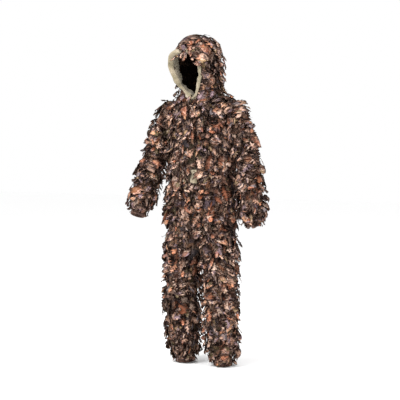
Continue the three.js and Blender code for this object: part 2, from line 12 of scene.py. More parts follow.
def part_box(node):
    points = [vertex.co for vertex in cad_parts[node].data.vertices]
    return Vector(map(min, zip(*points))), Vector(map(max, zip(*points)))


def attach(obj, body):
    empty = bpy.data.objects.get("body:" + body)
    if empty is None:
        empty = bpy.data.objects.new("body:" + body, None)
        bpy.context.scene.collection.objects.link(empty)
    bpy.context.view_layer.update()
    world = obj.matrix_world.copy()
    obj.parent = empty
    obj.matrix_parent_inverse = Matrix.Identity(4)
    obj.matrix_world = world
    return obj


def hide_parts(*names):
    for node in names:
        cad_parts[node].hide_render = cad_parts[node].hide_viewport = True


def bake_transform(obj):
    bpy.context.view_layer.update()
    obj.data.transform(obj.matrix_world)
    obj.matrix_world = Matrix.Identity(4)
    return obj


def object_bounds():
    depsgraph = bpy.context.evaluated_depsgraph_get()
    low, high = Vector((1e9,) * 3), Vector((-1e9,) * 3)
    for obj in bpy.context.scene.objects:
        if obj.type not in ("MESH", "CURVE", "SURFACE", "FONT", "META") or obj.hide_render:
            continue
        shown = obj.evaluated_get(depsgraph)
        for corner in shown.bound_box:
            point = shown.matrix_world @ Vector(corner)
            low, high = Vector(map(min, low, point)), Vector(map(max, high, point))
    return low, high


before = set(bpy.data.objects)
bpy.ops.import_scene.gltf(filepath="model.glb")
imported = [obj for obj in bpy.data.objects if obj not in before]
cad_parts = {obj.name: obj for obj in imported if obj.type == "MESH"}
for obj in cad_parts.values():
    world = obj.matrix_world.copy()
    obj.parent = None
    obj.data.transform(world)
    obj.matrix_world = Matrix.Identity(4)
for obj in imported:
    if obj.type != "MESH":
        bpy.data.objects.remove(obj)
cad_low, cad_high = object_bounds()

# ---- Sizes, in metres ----------------------------------------------------------------------------
COLUMNS = 96  # samples round each surface
STEP = 0.008  # spacing of the sampled rows
REACH = 0.6  # how far outside the axis a sampling ray starts
CLOTH = 0.0012
FACING_THICK = 0.0009
TAPE_THICK = 0.0007
BAND_THICK = 0.0006
TOOTH_PITCH = 0.0024
SECTION = 0.008  # how far a soft CAD section stands outside its cloth
NECK_SECTION = 0.003
LEAF_SPACING = 0.025
LEAF_ROW = 0.038
LEAF_LENGTHS = (0.044, 0.098)
LEAF_CAP = 0.027  # greatest height of a leaf over the cloth
LEAF_THICK = 0.0008
LEAF_ROWS, LEAF_COLS = 13, 5
CUFF = 0.030
ANKLE_CUFF = 0.034
WAISTBAND = 0.040
FACE_SLANT = math.radians(12)
THROAT = Vector((0, -0.094, -0.038))
ELBOW = {"left": Vector((0.268, -0.008, -0.315)), "right": Vector((-0.272, -0.020, -0.310))}
WRIST = {"left": Vector((0.327, -0.050, -0.650)), "right": Vector((-0.300, -0.150, -0.612))}
SHOULDER = {"left": Vector((0.186, 0, -0.084)), "right": Vector((-0.186, 0, -0.084))}
SIGN = {"left": 1, "right": -1}
SIDES = ("left", "right")

DOWN = Vector((0, 0, -1))
FACE_BACK = Vector((0, math.cos(FACE_SLANT), math.sin(FACE_SLANT)))
FACE_UP = Vector((0, -math.sin(FACE_SLANT), math.cos(FACE_SLANT)))

random = np.random.default_rng(41)


# ---- Surfaces sampled from the CAD cloth ---------------------------------------------------------
def target(names, offset=0.0):
    """The named CAD nodes to cast at, and how far their face stands outside the cloth."""
    points, polygons = [], []
    for name in names:
        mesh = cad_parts[name].data
        start = len(points)
        points += [v.co.copy() for v in mesh.vertices]
        polygons += [[start + i for i in p.vertices] for p in mesh.polygons]
    return BVHTree.FromPolygons(points, polygons), offset


def unit(v):
    return v / np.maximum(np.linalg.norm(v, axis=-1, keepdims=True), 1e-9)


class Surface:
    """A cloth tube sampled on a grid: rows from its top down, columns round it from the front.

    rows holds for each row the axis point, the direction down the tube and the angle by which its
    rays tilt back up, which closes a dome over the tube's top.
    """

    def __init__(self, rows, targets, blur=(2, 4), front=Vector((0, -1, 0))):
        self.theta = np.arange(COLUMNS) * 2 * math.pi / COLUMNS
        rays = np.array([self.directions(down, rise, front) for _, down, rise in rows])
        origins = np.array([tuple(origin) for origin, _, _ in rows])
        reach = np.full(rays.shape[:2], np.nan)
        for i in range(len(rows)):
            for j in range(COLUMNS):
                reach[i, j] = self.cast(Vector(origins[i]), Vector(rays[i, j]), targets)
        self.hit = ~np.isnan(reach)
        reach = self.blurred(self.filled(reach), *blur)
        self.points = origins[:, None] + rays * reach[..., None]
        self.measure()

    @staticmethod
    def directions(down, rise, front):
        down = Vector(down).normalized()
        ahead = (front - down * front.dot(down)).normalized()
        aside = down.cross(ahead) * (1 if down.cross(ahead).x > 0 else -1)
        angles = np.arange(COLUMNS) * 2 * math.pi / COLUMNS
        flat = np.outer(np.cos(angles), ahead) + np.outer(np.sin(angles), aside)
        return flat * math.cos(rise) - np.array(down) * math.sin(rise)

    @staticmethod
    def cast(origin, ray, targets):
        found = math.nan
        for tree, offset in targets:
            hit = tree.ray_cast(origin + ray * REACH, -ray, REACH)
            if hit[0] is not None:
                reach = REACH - hit[3] - offset
                found = reach if math.isnan(found) else max(found, reach)
        return found

    @staticmethod
    def filled(grid):
        """Gaps in the grid take the mean of their known neighbours, from the edges inward."""
        while np.isnan(grid).any():
            padded = np.pad(grid, ((1, 1), (0, 0)), constant_values=np.nan)
            around = [
                np.roll(padded, turn, 1)[1 + d : 1 + d + len(grid)]
                for turn in (-1, 0, 1)
                for d in (-1, 0, 1)
                if turn or d
            ]
            stack = np.array(around)
            known = ~np.isnan(stack)
            count = known.sum(0)
            mean = np.where(known, stack, 0).sum(0) / np.maximum(count, 1)
            grid = np.where(np.isnan(grid) & (count > 0), mean, grid)
        return grid

    @staticmethod
    def blurred(grid, along, round_):
        for _ in range(round_):
            grid = (np.roll(grid, 1, 1) + 2 * grid + np.roll(grid, -1, 1)) / 4
        for _ in range(along):
            tall = np.pad(grid, ((1, 1), (0, 0)), mode="edge")
            grid = (tall[:-2] + 2 * grid + tall[2:]) / 4
        return grid

    def measure(self):
        """Directions, normals and arc lengths of the grid."""
        down = np.gradient(self.points, axis=0)
        across = (np.roll(self.points, -1, 1) - np.roll(self.points, 1, 1)) / 2
        normal = unit(np.cross(across, down))
        middle = self.points.mean(1, keepdims=True)
        outward = ((self.points - middle) * normal).sum(-1, keepdims=True).sum()
        self.normals = normal * (1 if outward > 0 else -1)
        self.down = unit(down)
        self.speed = np.linalg.norm(across, axis=-1) * COLUMNS / (2 * math.pi)
        steps = np.linalg.norm(np.diff(self.points, axis=0), axis=-1).mean(1)
        self.length = np.concatenate([[0], np.cumsum(steps)])
        self.girth = self.speed.mean(1) * 2 * math.pi

    def sample(self, grid, s, theta):
        i = np.interp(s, self.length, np.arange(len(self.length)))
        i0 = np.minimum(i.astype(int), len(self.length) - 2)
        j = (theta / (2 * math.pi) * COLUMNS) % COLUMNS
        j0 = np.floor(j).astype(int) % COLUMNS
        j1 = (j0 + 1) % COLUMNS
        fi, fj = i - i0, j - np.floor(j)
        if grid.ndim == 3:
            fi, fj = fi[..., None], fj[..., None]
        top = grid[i0, j0] * (1 - fj) + grid[i0, j1] * fj
        low = grid[i0 + 1, j0] * (1 - fj) + grid[i0 + 1, j1] * fj
        return top * (1 - fi) + low * fi

    def at(self, s, theta, height):
        """Points over the surface, running on straight past its two ends."""
        over = s - np.clip(s, self.length[0], self.length[-1])
        point = self.sample(self.points, s, theta)
        normal = unit(self.sample(self.normals, s, theta))
        down = unit(self.sample(self.down, s, theta))
        return point + normal * height[..., None] + down * over[..., None]

    def covered(self, s, theta):
        return self.sample(self.hit.astype(float), s, theta) > 0.6

    def height_to_s(self, z):
        """How far down the surface a level lies."""
        level = self.points[..., 2].mean(1)
        return float(np.interp(-z, -level, self.length))


def spaced(a, b, step=STEP):
    return np.linspace(a, b, max(2, round(abs(b - a) / step) + 1))


def upright_rows(centre, top, bottom):
    return [(Vector((*centre(z), z)), DOWN, 0.0) for z in spaced(top, bottom)]


def dome_rows(centre, down, steps, highest=88):
    return [(centre, down, math.radians(a)) for a in np.linspace(highest, 0, steps, endpoint=False)]


def body_surface():
    """Hood crown, neck and jacket body in one surface."""
    crown = Vector((0, -0.030, 0.200))
    hood = target(["hood_side_panel_left", "hood_side_panel_right", "hood_centre_panel", "hood_facing"])
    panels = target(["jacket_back_panel", "jacket_front_panel_left", "jacket_front_panel_right"])
    band = target(["jacket_hem_band"])
    neck = target(["hood_neck_section"], NECK_SECTION)
    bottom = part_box("jacket_hem_band")[0].z + 0.001

    def centre(z):
        forward = min(1, max(0, (0.2 - z) / 0.2))
        return 0, -0.030 + 0.030 * forward

    rows = dome_rows(crown, DOWN, 15) + upright_rows(centre, crown.z, bottom)
    return Surface(rows, [hood, panels, band, neck], blur=(2, 3))


def arm_surface(side):
    shoulder, elbow, wrist = SHOULDER[side], ELBOW[side], WRIST[side]
    upper, lower = (elbow - shoulder), (wrist - elbow)
    rows = dome_rows(shoulder, upper, 12)
    for t in spaced(0, upper.length):
        axis = shoulder + upper.normalized() * t
        rows.append((axis, blend_direction(upper, lower, t - upper.length), 0.0))
    for t in spaced(0, lower.length)[1:]:
        axis = elbow + lower.normalized() * t
        rows.append((axis, blend_direction(upper, lower, t), 0.0))
    cloth = target([f"sleeve_upper_{side}", f"sleeve_lower_{side}", f"cuff_{side}"])
    soft = target([f"shoulder_section_{side}", f"elbow_section_{side}"], SECTION)
    return Surface(rows, [cloth, soft], blur=(2, 5))


def blend_direction(upper, lower, past):
    """The direction of an arm that far past its elbow, turning smoothly over the bend."""
    t = min(1, max(0, past / 0.12 + 0.5))
    return upper.normalized().lerp(lower.normalized(), t * t * (3 - 2 * t)).normalized()


def seat_surface():
    top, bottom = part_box("waistband_casing")[1].z, -0.700
    names = ["waistband_casing"] + [f"trouser_seat_{s}" for s in SIDES]
    rows = upright_rows(lambda z: (0, -0.004), top - 0.001, bottom)
    return Surface(rows, [target(names), target([f"hip_section_{s}" for s in SIDES], SECTION)])


def leg_surface(side):
    names = ["trouser_seat", "trouser_thigh", "trouser_shin", "ankle_cuff"]
    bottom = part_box(f"ankle_cuff_{side}")[0].z + 0.001
    x = SIGN[side] * 0.098

    def centre(z):
        outward = min(1, max(0, (-0.80 - z) / 0.14))
        back = min(1, max(0, (-1.2 - z) / 0.14))
        return x + SIGN[side] * 0.016 * outward, -0.004 + 0.022 * back

    rows = upright_rows(centre, -0.690, bottom)
    soft = target([f"hip_section_{side}", f"knee_section_{side}"], SECTION)
    return Surface(rows, [target([f"{n}_{side}" for n in names]), soft], blur=(2, 5))


# ---- Which body a piece follows ------------------------------------------------------------------
def follow(obj, rule):
    """A rule is the name of a body, to which the piece is attached. A rule of two bodies with the start and
    end of the bend between them only has the piece's transform baked; no bend is set up here.
    """
    if isinstance(rule, str):
        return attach(obj, rule)
    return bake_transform(obj)


def neck_rule():
    along = Vector((0, -0.339, 0.941))
    return "jacket", "hood", tuple(along * -0.028), tuple(along * 0.038)


def shoulder_rule(side):
    s = SIGN[side]
    return "jacket", f"upper_arm_{side}", (s * 0.165, 0, -0.035), (s * 0.200, 0, -0.125)


def elbow_rule(side):
    up = (SHOULDER[side] - ELBOW[side]).normalized()
    down = (WRIST[side] - ELBOW[side]).normalized()
    start, end = ELBOW[side] + up * 0.048, ELBOW[side] + down * 0.048
    return f"upper_arm_{side}", f"forearm_{side}", tuple(start), tuple(end)


def hip_rule(side):
    return "trousers", f"thigh_{side}", (0, 0, -0.845), (SIGN[side] * 0.0744, 0, -0.939)


def knee_rule(side):
    x = SIGN[side] * 0.114
    return f"thigh_{side}", f"shin_{side}", (x, 0, -0.985), (x, 0, -1.105)


# ---- Node graphs ---------------------------------------------------------------------------------
LIGHT_GAIN = (0.90, 1.00, 0.95)  # how much brighter a colour looks in the studio light, by channel


def srgb(*levels):
    """The surface colour that shows as these 0 to 255 levels in the studio light."""

    def channel(v, gain):
        v /= 255
        return (v / 12.92 if v <= 0.04045 else ((v + 0.055) / 1.055) ** 2.4) / gain

    return *(channel(v, gain) for v, gain in zip(levels, LIGHT_GAIN)), 1.0


class Graph:
    """A material's node graph with one short call for each kind of node that it uses."""

    def __init__(self, name, roughness=0.9, sheen=0.0, specular=0.2, metallic=0.0):
        self.material = bpy.data.materials.new(name)
        self.material.use_nodes = True
        self.tree = self.material.node_tree
        self.shader = self.tree.nodes["Principled BSDF"]
        self.shader.inputs["Roughness"].default_value = roughness
        self.shader.inputs["Specular IOR Level"].default_value = specular
        self.shader.inputs["Sheen Weight"].default_value = sheen
        self.shader.inputs["Sheen Roughness"].default_value = 0.6
        self.shader.inputs["Metallic"].default_value = metallic

    def node(self, kind, inputs, **settings):
        node = self.tree.nodes.new(kind)
        for key, value in settings.items():
            setattr(node, key, value)
        for key, value in inputs.items():
            if isinstance(value, bpy.types.NodeSocket):
                self.tree.links.new(value, node.inputs[key])
            else:
                node.inputs[key].default_value = value
        return node

    def attribute(self, name, output="Fac"):
        return self.node("ShaderNodeAttribute", {}, attribute_name=name).outputs[output]

    def math(self, operation, a, b=0.0, clamp=False):
        inputs = {0: a} if b is None else {0: a, 1: b}
        return self.node("ShaderNodeMath", inputs, operation=operation, use_clamp=clamp).outputs[0]

    def vector(self, operation, a, b):
        return self.node("ShaderNodeVectorMath", {0: a, 1: b}, operation=operation).outputs[0]

    def stretched(self, a, factors):
        return self.vector("MULTIPLY", a, factors)

    def noise(self, where, scale, detail=3.0, distortion=0.0, output="Fac"):
        inputs = {"Vector": where, "Scale": scale, "Detail": detail, "Distortion": distortion}
        return self.node("ShaderNodeTexNoise", inputs).outputs[output]

    def shaken(self, where, source, scale, amount):
        """Places moved about by noise that is read at the source."""
        noise = self.noise(source, scale, 3.0, output="Color")
        centred = self.vector("SUBTRACT", noise, (0.5,) * 3)
        return self.vector("ADD", where, self.stretched(centred, (amount,) * 3))

    def voronoi(self, where, scale, output="Color"):
        inputs = {"Vector": where, "Scale": scale}
        return self.node("ShaderNodeTexVoronoi", inputs).outputs[output]

    def wave(self, where, scale, distortion=0.0, direction="X"):
        inputs = {"Vector": where, "Scale": scale, "Distortion": distortion, "Detail": 2.0}
        return self.node("ShaderNodeTexWave", inputs, bands_direction=direction).outputs["Fac"]

    def part(self, colour, which="Red"):
        return self.node("ShaderNodeSeparateColor", {"Color": colour}).outputs[which]

    def axis(self, vector, which):
        return self.node("ShaderNodeSeparateXYZ", {"Vector": vector}).outputs[which]

    def ramp(self, factor, stops, interpolation="LINEAR"):
        node = self.node("ShaderNodeValToRGB", {"Fac": factor})
        ramp = node.color_ramp
        ramp.interpolation = interpolation
        while len(ramp.elements) < len(stops):
            ramp.elements.new(0.5)
        for element, (place, colour) in zip(ramp.elements, stops):
            element.position = place
            element.color = colour if len(colour) == 4 else (*colour, 1)
        return node.outputs["Color"]

    def level(self, factor, low, high):
        """0 below one value, 1 above the other, and smooth between them."""
        inputs = {"Value": factor, "From Min": low, "From Max": high}
        return self.node("ShaderNodeMapRange", inputs, interpolation_type="SMOOTHSTEP").outputs[0]

    def mix(self, factor, a, b, blend="MIX"):
        inputs = {"Factor": factor, 6: a, 7: b}
        return self.node("ShaderNodeMix", inputs, data_type="RGBA", blend_type=blend).outputs[2]

    def bump(self, height, strength, distance):
        inputs = {"Height": height, "Strength": strength, "Distance": distance}
        return self.node("ShaderNodeBump", inputs).outputs["Normal"]

    def finish(self, colour, height=None, strength=0.5, distance=0.001, roughness=None):
        self.tree.links.new(colour, self.shader.inputs["Base Color"])
        if height is not None:
            self.tree.links.new(self.bump(height, strength, distance), self.shader.inputs["Normal"])
        if roughness is not None:
            self.tree.links.new(roughness, self.shader.inputs["Roughness"])
        return self.material


def vivid(colour, amount=1.35):
    """A colour pushed away from its own grey."""
    grey = sum(colour) / 3
    return [min(255, max(0, grey + amount * (level - grey))) for level in colour]


def evenly(colours, amount=1.35):
    """Constant stops that give each colour an equal share."""
    return [(i / len(colours), srgb(*vivid(c, amount))) for i, c in enumerate(colours)]


GROUND = evenly([
    (118, 90, 76), (40, 28, 22), (158, 130, 108), (84, 62, 50), (194, 168, 146), (56, 42, 34),
    (132, 106, 88), (92, 84, 60), (126, 112, 116), (172, 138, 108), (30, 21, 18), (190, 172, 152),
    (112, 108, 108), (142, 124, 92),
], 1.05)
BARK = evenly([
    (60, 43, 34), (136, 110, 92), (24, 16, 13), (176, 150, 128), (90, 67, 54), (110, 98, 100),
    (186, 166, 146), (38, 27, 22),
], 1.05)
AUTUMN = evenly([
    (168, 96, 62), (186, 138, 104), (128, 74, 52), (170, 116, 84), (110, 66, 50), (158, 128, 100),
], 1.0)


def printed(g, where):
    """The cloth's print: torn patches of ground colours, fallen leaves, twigs and their shadows."""
    moved = g.shaken(where, where, 16.0, 0.05)
    torn = g.shaken(moved, where, 95.0, 0.014)
    ground = g.ramp(g.part(g.voronoi(torn, 22.0)), GROUND, "CONSTANT")

    streaks = g.stretched(torn, (0.38, 1.3, 1.0))
    bark = g.ramp(g.part(g.voronoi(streaks, 85.0)), BARK, "CONSTANT")
    colour = g.mix(g.level(g.noise(where, 24.0, 2.0), 0.46, 0.54), ground, bark)

    cell = g.voronoi(moved, 17.0)
    centre = g.voronoi(torn, 17.0, "Distance")
    chosen = g.level(g.part(cell, "Green"), 0.76, 0.78)
    shape = g.math("SUBTRACT", 1.0, g.level(centre, 0.40, 0.46))
    leaf = g.math("MULTIPLY", chosen, shape)
    hue = g.ramp(g.part(cell, "Blue"), AUTUMN, "CONSTANT")
    lit = g.mix(g.noise(torn, 60.0, 2.0), hue, srgb(204, 152, 116))
    veins = g.level(g.wave(torn, 26.0, 5.0, "DIAGONAL"), 0.82, 0.97)
    colour = g.mix(leaf, colour, g.mix(veins, lit, srgb(96, 46, 30)))

    twigs = g.math("ABSOLUTE", g.math("SUBTRACT", g.noise(streaks, 30.0, 3.0, 1.6), 0.5), None)
    shadow = g.math("SUBTRACT", 1.0, g.level(twigs, 0.012, 0.034))
    colour = g.mix(g.math("MULTIPLY", shadow, 0.86), colour, srgb(24, 15, 12))
    edges = g.math("ABSOLUTE", g.math("SUBTRACT", g.noise(torn, 44.0, 2.0, 0.8), 0.52), None)
    light = g.math("SUBTRACT", 1.0, g.level(edges, 0.004, 0.016))
    colour = g.mix(g.math("MULTIPLY", light, 0.55), colour, srgb(188, 176, 164))
    mottle = g.ramp(g.noise(where, 210.0, 3.0), [(0.32, (0.46, 0.45, 0.44)), (0.68, (1.32, 1.32, 1.32))])
    return g.mix(1.0, colour, mottle, "MULTIPLY")


def weave(g, where, scale=900.0):
    """The height of a plain weave with slubs."""
    warp = g.wave(where, scale, 0.6, "X")
    weft = g.wave(where, scale, 0.6, "Y")
    slubs = g.noise(where, 160.0, 3.0)
    return g.math("ADD", g.math("MULTIPLY", warp, weft), g.math("MULTIPLY", slubs, 1.2))


def stitches(g, row, across, period=0.004, width=0.0006):
    """Where a row of stitches shows: row is the distance from the seam, across runs along it."""
    near = g.math("LESS_THAN", g.math("ABSOLUTE", row, None), width)
    dash = g.math("GREATER_THAN", g.math("FRACT", g.math("DIVIDE", across, period), None), 0.3)
    return g.math("MULTIPLY", near, dash)


def print_material(name, under_leaf_shade=1.0):
    g = Graph(name, specular=0.04)
    where = g.attribute("print_at", "Vector")
    colour = printed(g, where)
    # Painted shade: the second argument scales the whole cloth down, standing in for the shade beneath the
    # leaves; the noise adds random large-scale fading on top.
    fade_and_painted_shade = g.ramp(g.noise(where, 5.0, 2.0), [(0.3, (0.80 * under_leaf_shade,) * 3), (0.7, (1.06 * under_leaf_shade,) * 3)])
    return g.finish(g.mix(1.0, colour, fade_and_painted_shade, "MULTIPLY"), weave(g, where), 0.4, 0.0006)


def leaf_material():
    """A cut cloth leaf: its own piece of the print, a darker rim, painted shade towards its root, and a
    duller back.
    """
    g = Graph("leaf_print", specular=0.04)
    where = g.attribute("print_at", "Vector")
    tone = g.attribute("leaf_tone")
    edge = g.attribute("leaf_edge")
    along = g.attribute("leaf_along")
    back = g.attribute("leaf_back")
    colour = printed(g, where)
    tint = g.ramp(tone, [
        (0.0, (0.13, 0.12, 0.12)), (0.18, (0.60, 0.59, 0.58)), (0.40, (1.05, 1.03, 1.02)),
        (0.66, (1.16, 1.14, 1.13)), (0.86, (1.12, 1.12, 1.12)), (1.0, (1.14, 1.14, 1.14)),
    ])
    colour = g.mix(1.0, colour, tint, "MULTIPLY")
    rust = g.level(g.attribute("leaf_rust"), 0.93, 0.95)
    painted = g.mix(g.noise(where, 70.0, 3.0), srgb(120, 60, 40), srgb(200, 132, 92))
    colour = g.mix(g.math("MULTIPLY", rust, 0.36), colour, painted)
    rim = g.level(edge, 0.72, 1.0)
    colour = g.mix(g.math("MULTIPLY", rim, 0.72), colour, srgb(20, 13, 10))
    # Painted shade: each leaf darkens towards its root, where it meets the cloth and lies in shade.
    root_shade = g.level(g.math("SUBTRACT", 1.0, along), 0.45, 0.95)
    colour = g.mix(g.math("MULTIPLY", root_shade, 0.8), colour, srgb(18, 11, 8))
    reverse = g.mix(0.55, colour, srgb(112, 96, 84))
    colour = g.mix(back, colour, g.mix(1.0, reverse, (0.72, 0.70, 0.68, 1), "MULTIPLY"))
    return g.finish(colour, weave(g, where), 0.4, 0.0006)


def lining_material():
    """The dark inside of the cloth, where the print shows through a little."""
    g = Graph("lining", specular=0.04)
    where = g.attribute("print_at", "Vector")
    faint = g.mix(0.82, printed(g, where), srgb(22, 15, 12))
    return g.finish(g.mix(1.0, faint, (0.42, 0.40, 0.38, 1), "MULTIPLY"), weave(g, where), 0.4, 0.0006)


def facing_material():
    """Plain khaki cloth with a stitched line and soft stains."""
    g = Graph("facing_khaki", sheen=0.2)
    where = g.attribute("print_at", "Vector")
    stain = g.noise(where, 22.0, 4.0)
    colour = g.ramp(stain, [
        (0.25, srgb(84, 80, 58)), (0.42, srgb(122, 118, 92)),
        (0.60, srgb(146, 141, 116)), (0.8, srgb(172, 167, 146)),
    ])
    row = g.axis(where, "X")
    across = g.axis(where, "Y")
    seams = [stitches(g, g.math("SUBTRACT", row, place), across) for place in (0.005, 0.013, 0.062)]
    thread = seams[0]
    for seam in seams[1:]:
        thread = g.math("MAXIMUM", thread, seam)
    colour = g.mix(thread, colour, srgb(92, 84, 62))
    creases = g.wave(g.stretched(where, (0.4, 1.0, 1.0)), 30.0, 6.0, "Y")
    height = g.math("ADD", weave(g, where), g.math("MULTIPLY", creases, 2.0))
    return g.finish(colour, height, 0.5, 0.0012)


def elastic_material(name, dark, light):
    """Gathered cloth over elastic: ribs across the band and stitched lines along it."""
    g = Graph(name)
    where = g.attribute("print_at", "Vector")
    ribs = g.wave(where, 90.0, 1.0, "Y")
    base = g.mix(g.noise(where, 60.0, 3.0), srgb(*dark), srgb(*light))
    colour = g.mix(g.math("MULTIPLY", g.level(ribs, 0.4, 0.9), 0.4), base, printed(g, where))
    thread = g.level(g.wave(where, 40.0, 0.0, "X"), 0.96, 0.99)
    colour = g.mix(g.math("MULTIPLY", thread, 0.5), colour, srgb(18, 12, 10))
    return g.finish(colour, g.math("ADD", ribs, weave(g, where)), 0.6, 0.0010)


def tape_material(name, dark, light):
    """Woven tape with a herringbone and worn edges."""
    g = Graph(name)
    where = g.attribute("print_at", "Vector")
    bone = g.wave(where, 500.0, 2.0, "DIAGONAL")
    worn = g.noise(where, 90.0, 4.0)
    colour = g.mix(worn, srgb(*dark), srgb(*light))
    colour = g.mix(g.math("MULTIPLY", bone, 0.3), colour, srgb(20, 16, 12))
    thread = stitches(g, g.math("SUBTRACT", g.axis(where, "Y"), 0.003), g.axis(where, "X"))
    colour = g.mix(thread, colour, srgb(150, 138, 108))
    return g.finish(colour, g.math("ADD", bone, weave(g, where)), 0.5, 0.0005)


def metal_material():
    """Dark painted zip metal, rubbed bright in places."""
    g = Graph("zip_metal_paint", roughness=0.4, specular=0.5, metallic=0.85)
    place = g.node("ShaderNodeTexCoord", {}).outputs["Object"]
    rubbed = g.level(g.noise(place, 420.0, 4.0), 0.55, 0.75)
    colour = g.mix(rubbed, srgb(52, 46, 38), srgb(150, 138, 118))
    rough = g.math("ADD", g.math("MULTIPLY", g.noise(place, 900.0, 3.0), 0.3), 0.3)
    return g.finish(colour, g.noise(place, 1500.0, 2.0), 0.15, 0.0002, rough)


MATERIALS = {
    # Painted shade: the cloth under the leaves is drawn at half brightness, for the shade that falls there.
    "print": print_material("cloth_print", 0.5),
    "leaf": leaf_material(),
    "lining": lining_material(),
    "facing": facing_material(),
    "cuff": elastic_material("cuff_gathers", (52, 38, 31), (104, 82, 70)),
    "elastic": elastic_material("waist_gathers", (44, 34, 29), (86, 70, 60)),
    "tape": tape_material("zip_tape_weave", (48, 42, 33), (78, 68, 52)),
    "binding": tape_material("neck_binding", (70, 62, 46), (112, 102, 78)),
    "metal": metal_material(),
}


# ---- Meshes --------------------------------------------------------------------------------------
def mesh_object(name, points, faces, materials, values=None, face_values=None, uv=None, smooth=True):
    mesh = bpy.data.meshes.new(name)
    mesh.from_pydata(np.asarray(points).reshape(-1, 3).tolist(), [], np.asarray(faces).tolist())
    for domain, group in (("POINT", values or {}), ("FACE", face_values or {})):
        for key, data in group.items():
            data = np.asarray(data, np.float32)
            if data.ndim == 2:
                mesh.attributes.new(key, "FLOAT_VECTOR", domain).data.foreach_set("vector", data.ravel())
            else:
                mesh.attributes.new(key, "FLOAT", domain).data.foreach_set("value", data)
    if uv is not None:
        mesh.uv_layers.new(name="OFBake").data.foreach_set("uv", np.asarray(uv, np.float32).ravel())
    for key in materials:
        mesh.materials.append(MATERIALS[key])
    mesh.polygons.foreach_set("use_smooth", [smooth] * len(mesh.polygons))
    mesh.update()
    obj = bpy.data.objects.new(name, mesh)
    bpy.context.scene.collection.objects.link(obj)
    return obj


def ring_quads(rings, count):
    """Faces between closed rings of points, from the first ring to the last."""
    index = np.arange(rings * count).reshape(rings, count)
    right = np.roll(index, -1, 1)
    return np.stack([index[:-1], index[1:], right[1:], right[:-1]], -1).reshape(-1, 4)


def sheet_quads(shape):
    """Faces between the points of an open grid."""
    index = np.arange(shape[0] * shape[1]).reshape(shape)
    return np.stack([index[:-1, :-1], index[1:, :-1], index[1:, 1:], index[:-1, 1:]], -1).reshape(-1, 4)


def thicken(obj, amount):
    solid = obj.modifiers.new("thickness", "SOLIDIFY")
    solid.thickness = amount
    solid.offset = -1
    return solid


def dress(obj, nodes, rule):
    """Hides the CAD nodes that a piece stands for and makes the piece follow its rule."""
    if nodes:
        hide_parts(*nodes)
    return follow(obj, rule)


def ringed_band(name, material, points, where, thick):
    """A piece made of closed rings of points, with each point's place on the print."""
    quads = ring_quads(len(points), len(points[0]))
    band = mesh_object(name, points, quads, [material], {"print_at": np.array(where).reshape(-1, 3)})
    thicken(band, thick)
    return band


def sheet_piece(name, points, where, material, thick):
    """A piece made of an open grid of points, with each point's place on the print."""
    sheet = mesh_object(name, points, sheet_quads(points.shape[:2]), [material], {"print_at": where})
    thicken(sheet, thick)
    return sheet


def waves(a, b, scale, count, seed):
    """A smooth random field over two coordinates, between about -1 and 1."""
    dice = np.random.default_rng(seed)
    total = np.zeros(np.broadcast(a, b).shape)
    for _ in range(count):
        angle, phase = dice.uniform(0, 2 * math.pi, 2)
        pitch = scale * dice.uniform(0.6, 1.7)
        total += np.sin(2 * math.pi * (a * math.cos(angle) + b * math.sin(angle)) / pitch + phase)
    return total / math.sqrt(count)


def cloth_piece(name, surface, start, end, folds, seed, keep=None, material="print", thick=CLOTH):
    """The cloth itself between two places along a surface, with folds and a dark inside."""
    first = max(0, int(np.searchsorted(surface.length, start, "right")) - 1)
    last = min(len(surface.length) - 1, int(np.searchsorted(surface.length, end, "left")))
    rows = np.arange(first, last + 1)
    grid = surface.points[rows]
    s = surface.length[rows][:, None]
    arc = surface.speed[rows] * surface.theta[None, :]
    fold = waves(s * 0.5, arc, 0.09, 7, seed) + 0.5 * waves(s, arc, 0.035, 6, seed + 50)
    points = grid + surface.normals[rows] * (folds * (fold - 0.6))[..., None]
    ok = surface.hit[rows] if keep is None else surface.hit[rows] & keep(grid)
    quads = ring_quads(len(rows), COLUMNS)
    some = np.take(ok.ravel(), quads)
    whole = some.all(1) if keep is not None else some.any(1)
    where = np.stack([np.broadcast_to(s, arc.shape), arc, np.full(arc.shape, seed * 0.37)], -1)
    used, faces = np.unique(quads[whole], return_inverse=True)
    obj = mesh_object(
        name, points.reshape(-1, 3)[used], faces.reshape(-1, 4), [material, "lining"],
        {"print_at": where.reshape(-1, 3)[used]},
    )
    thicken(obj, thick).material_offset = 1
    return obj


# ---- Leaves --------------------------------------------------------------------------------------
def leaf_outline(width, depth, period, sweep, bias, shift):
    """A jagged leaf one unit long: the places along and across of its rows and columns."""
    k = np.arange(LEAF_ROWS)
    u = k / (LEAF_ROWS - 1)
    full = np.maximum(width * np.sin(math.pi * u**bias) ** 0.8, 0.3 * width * (1 - u) ** 3)
    grid = np.zeros((LEAF_ROWS, LEAF_COLS, 2))
    for column, (side, part) in enumerate(((-1, 1), (-1, 0.45), (0, 0), (1, 0.45), (1, 1))):
        phase = (k + shift * (side > 0)) % period
        tip = 1 - np.abs(phase - period // 2) / (period / 2)
        outer = part == 1
        reach = full * (1 - depth * (1 - tip)) if outer else full * (1 - depth)
        grid[:, column, 0] = u + (sweep * tip * np.sin(math.pi * u) if outer else 0)
        grid[:, column, 1] = side * part * reach
    return grid


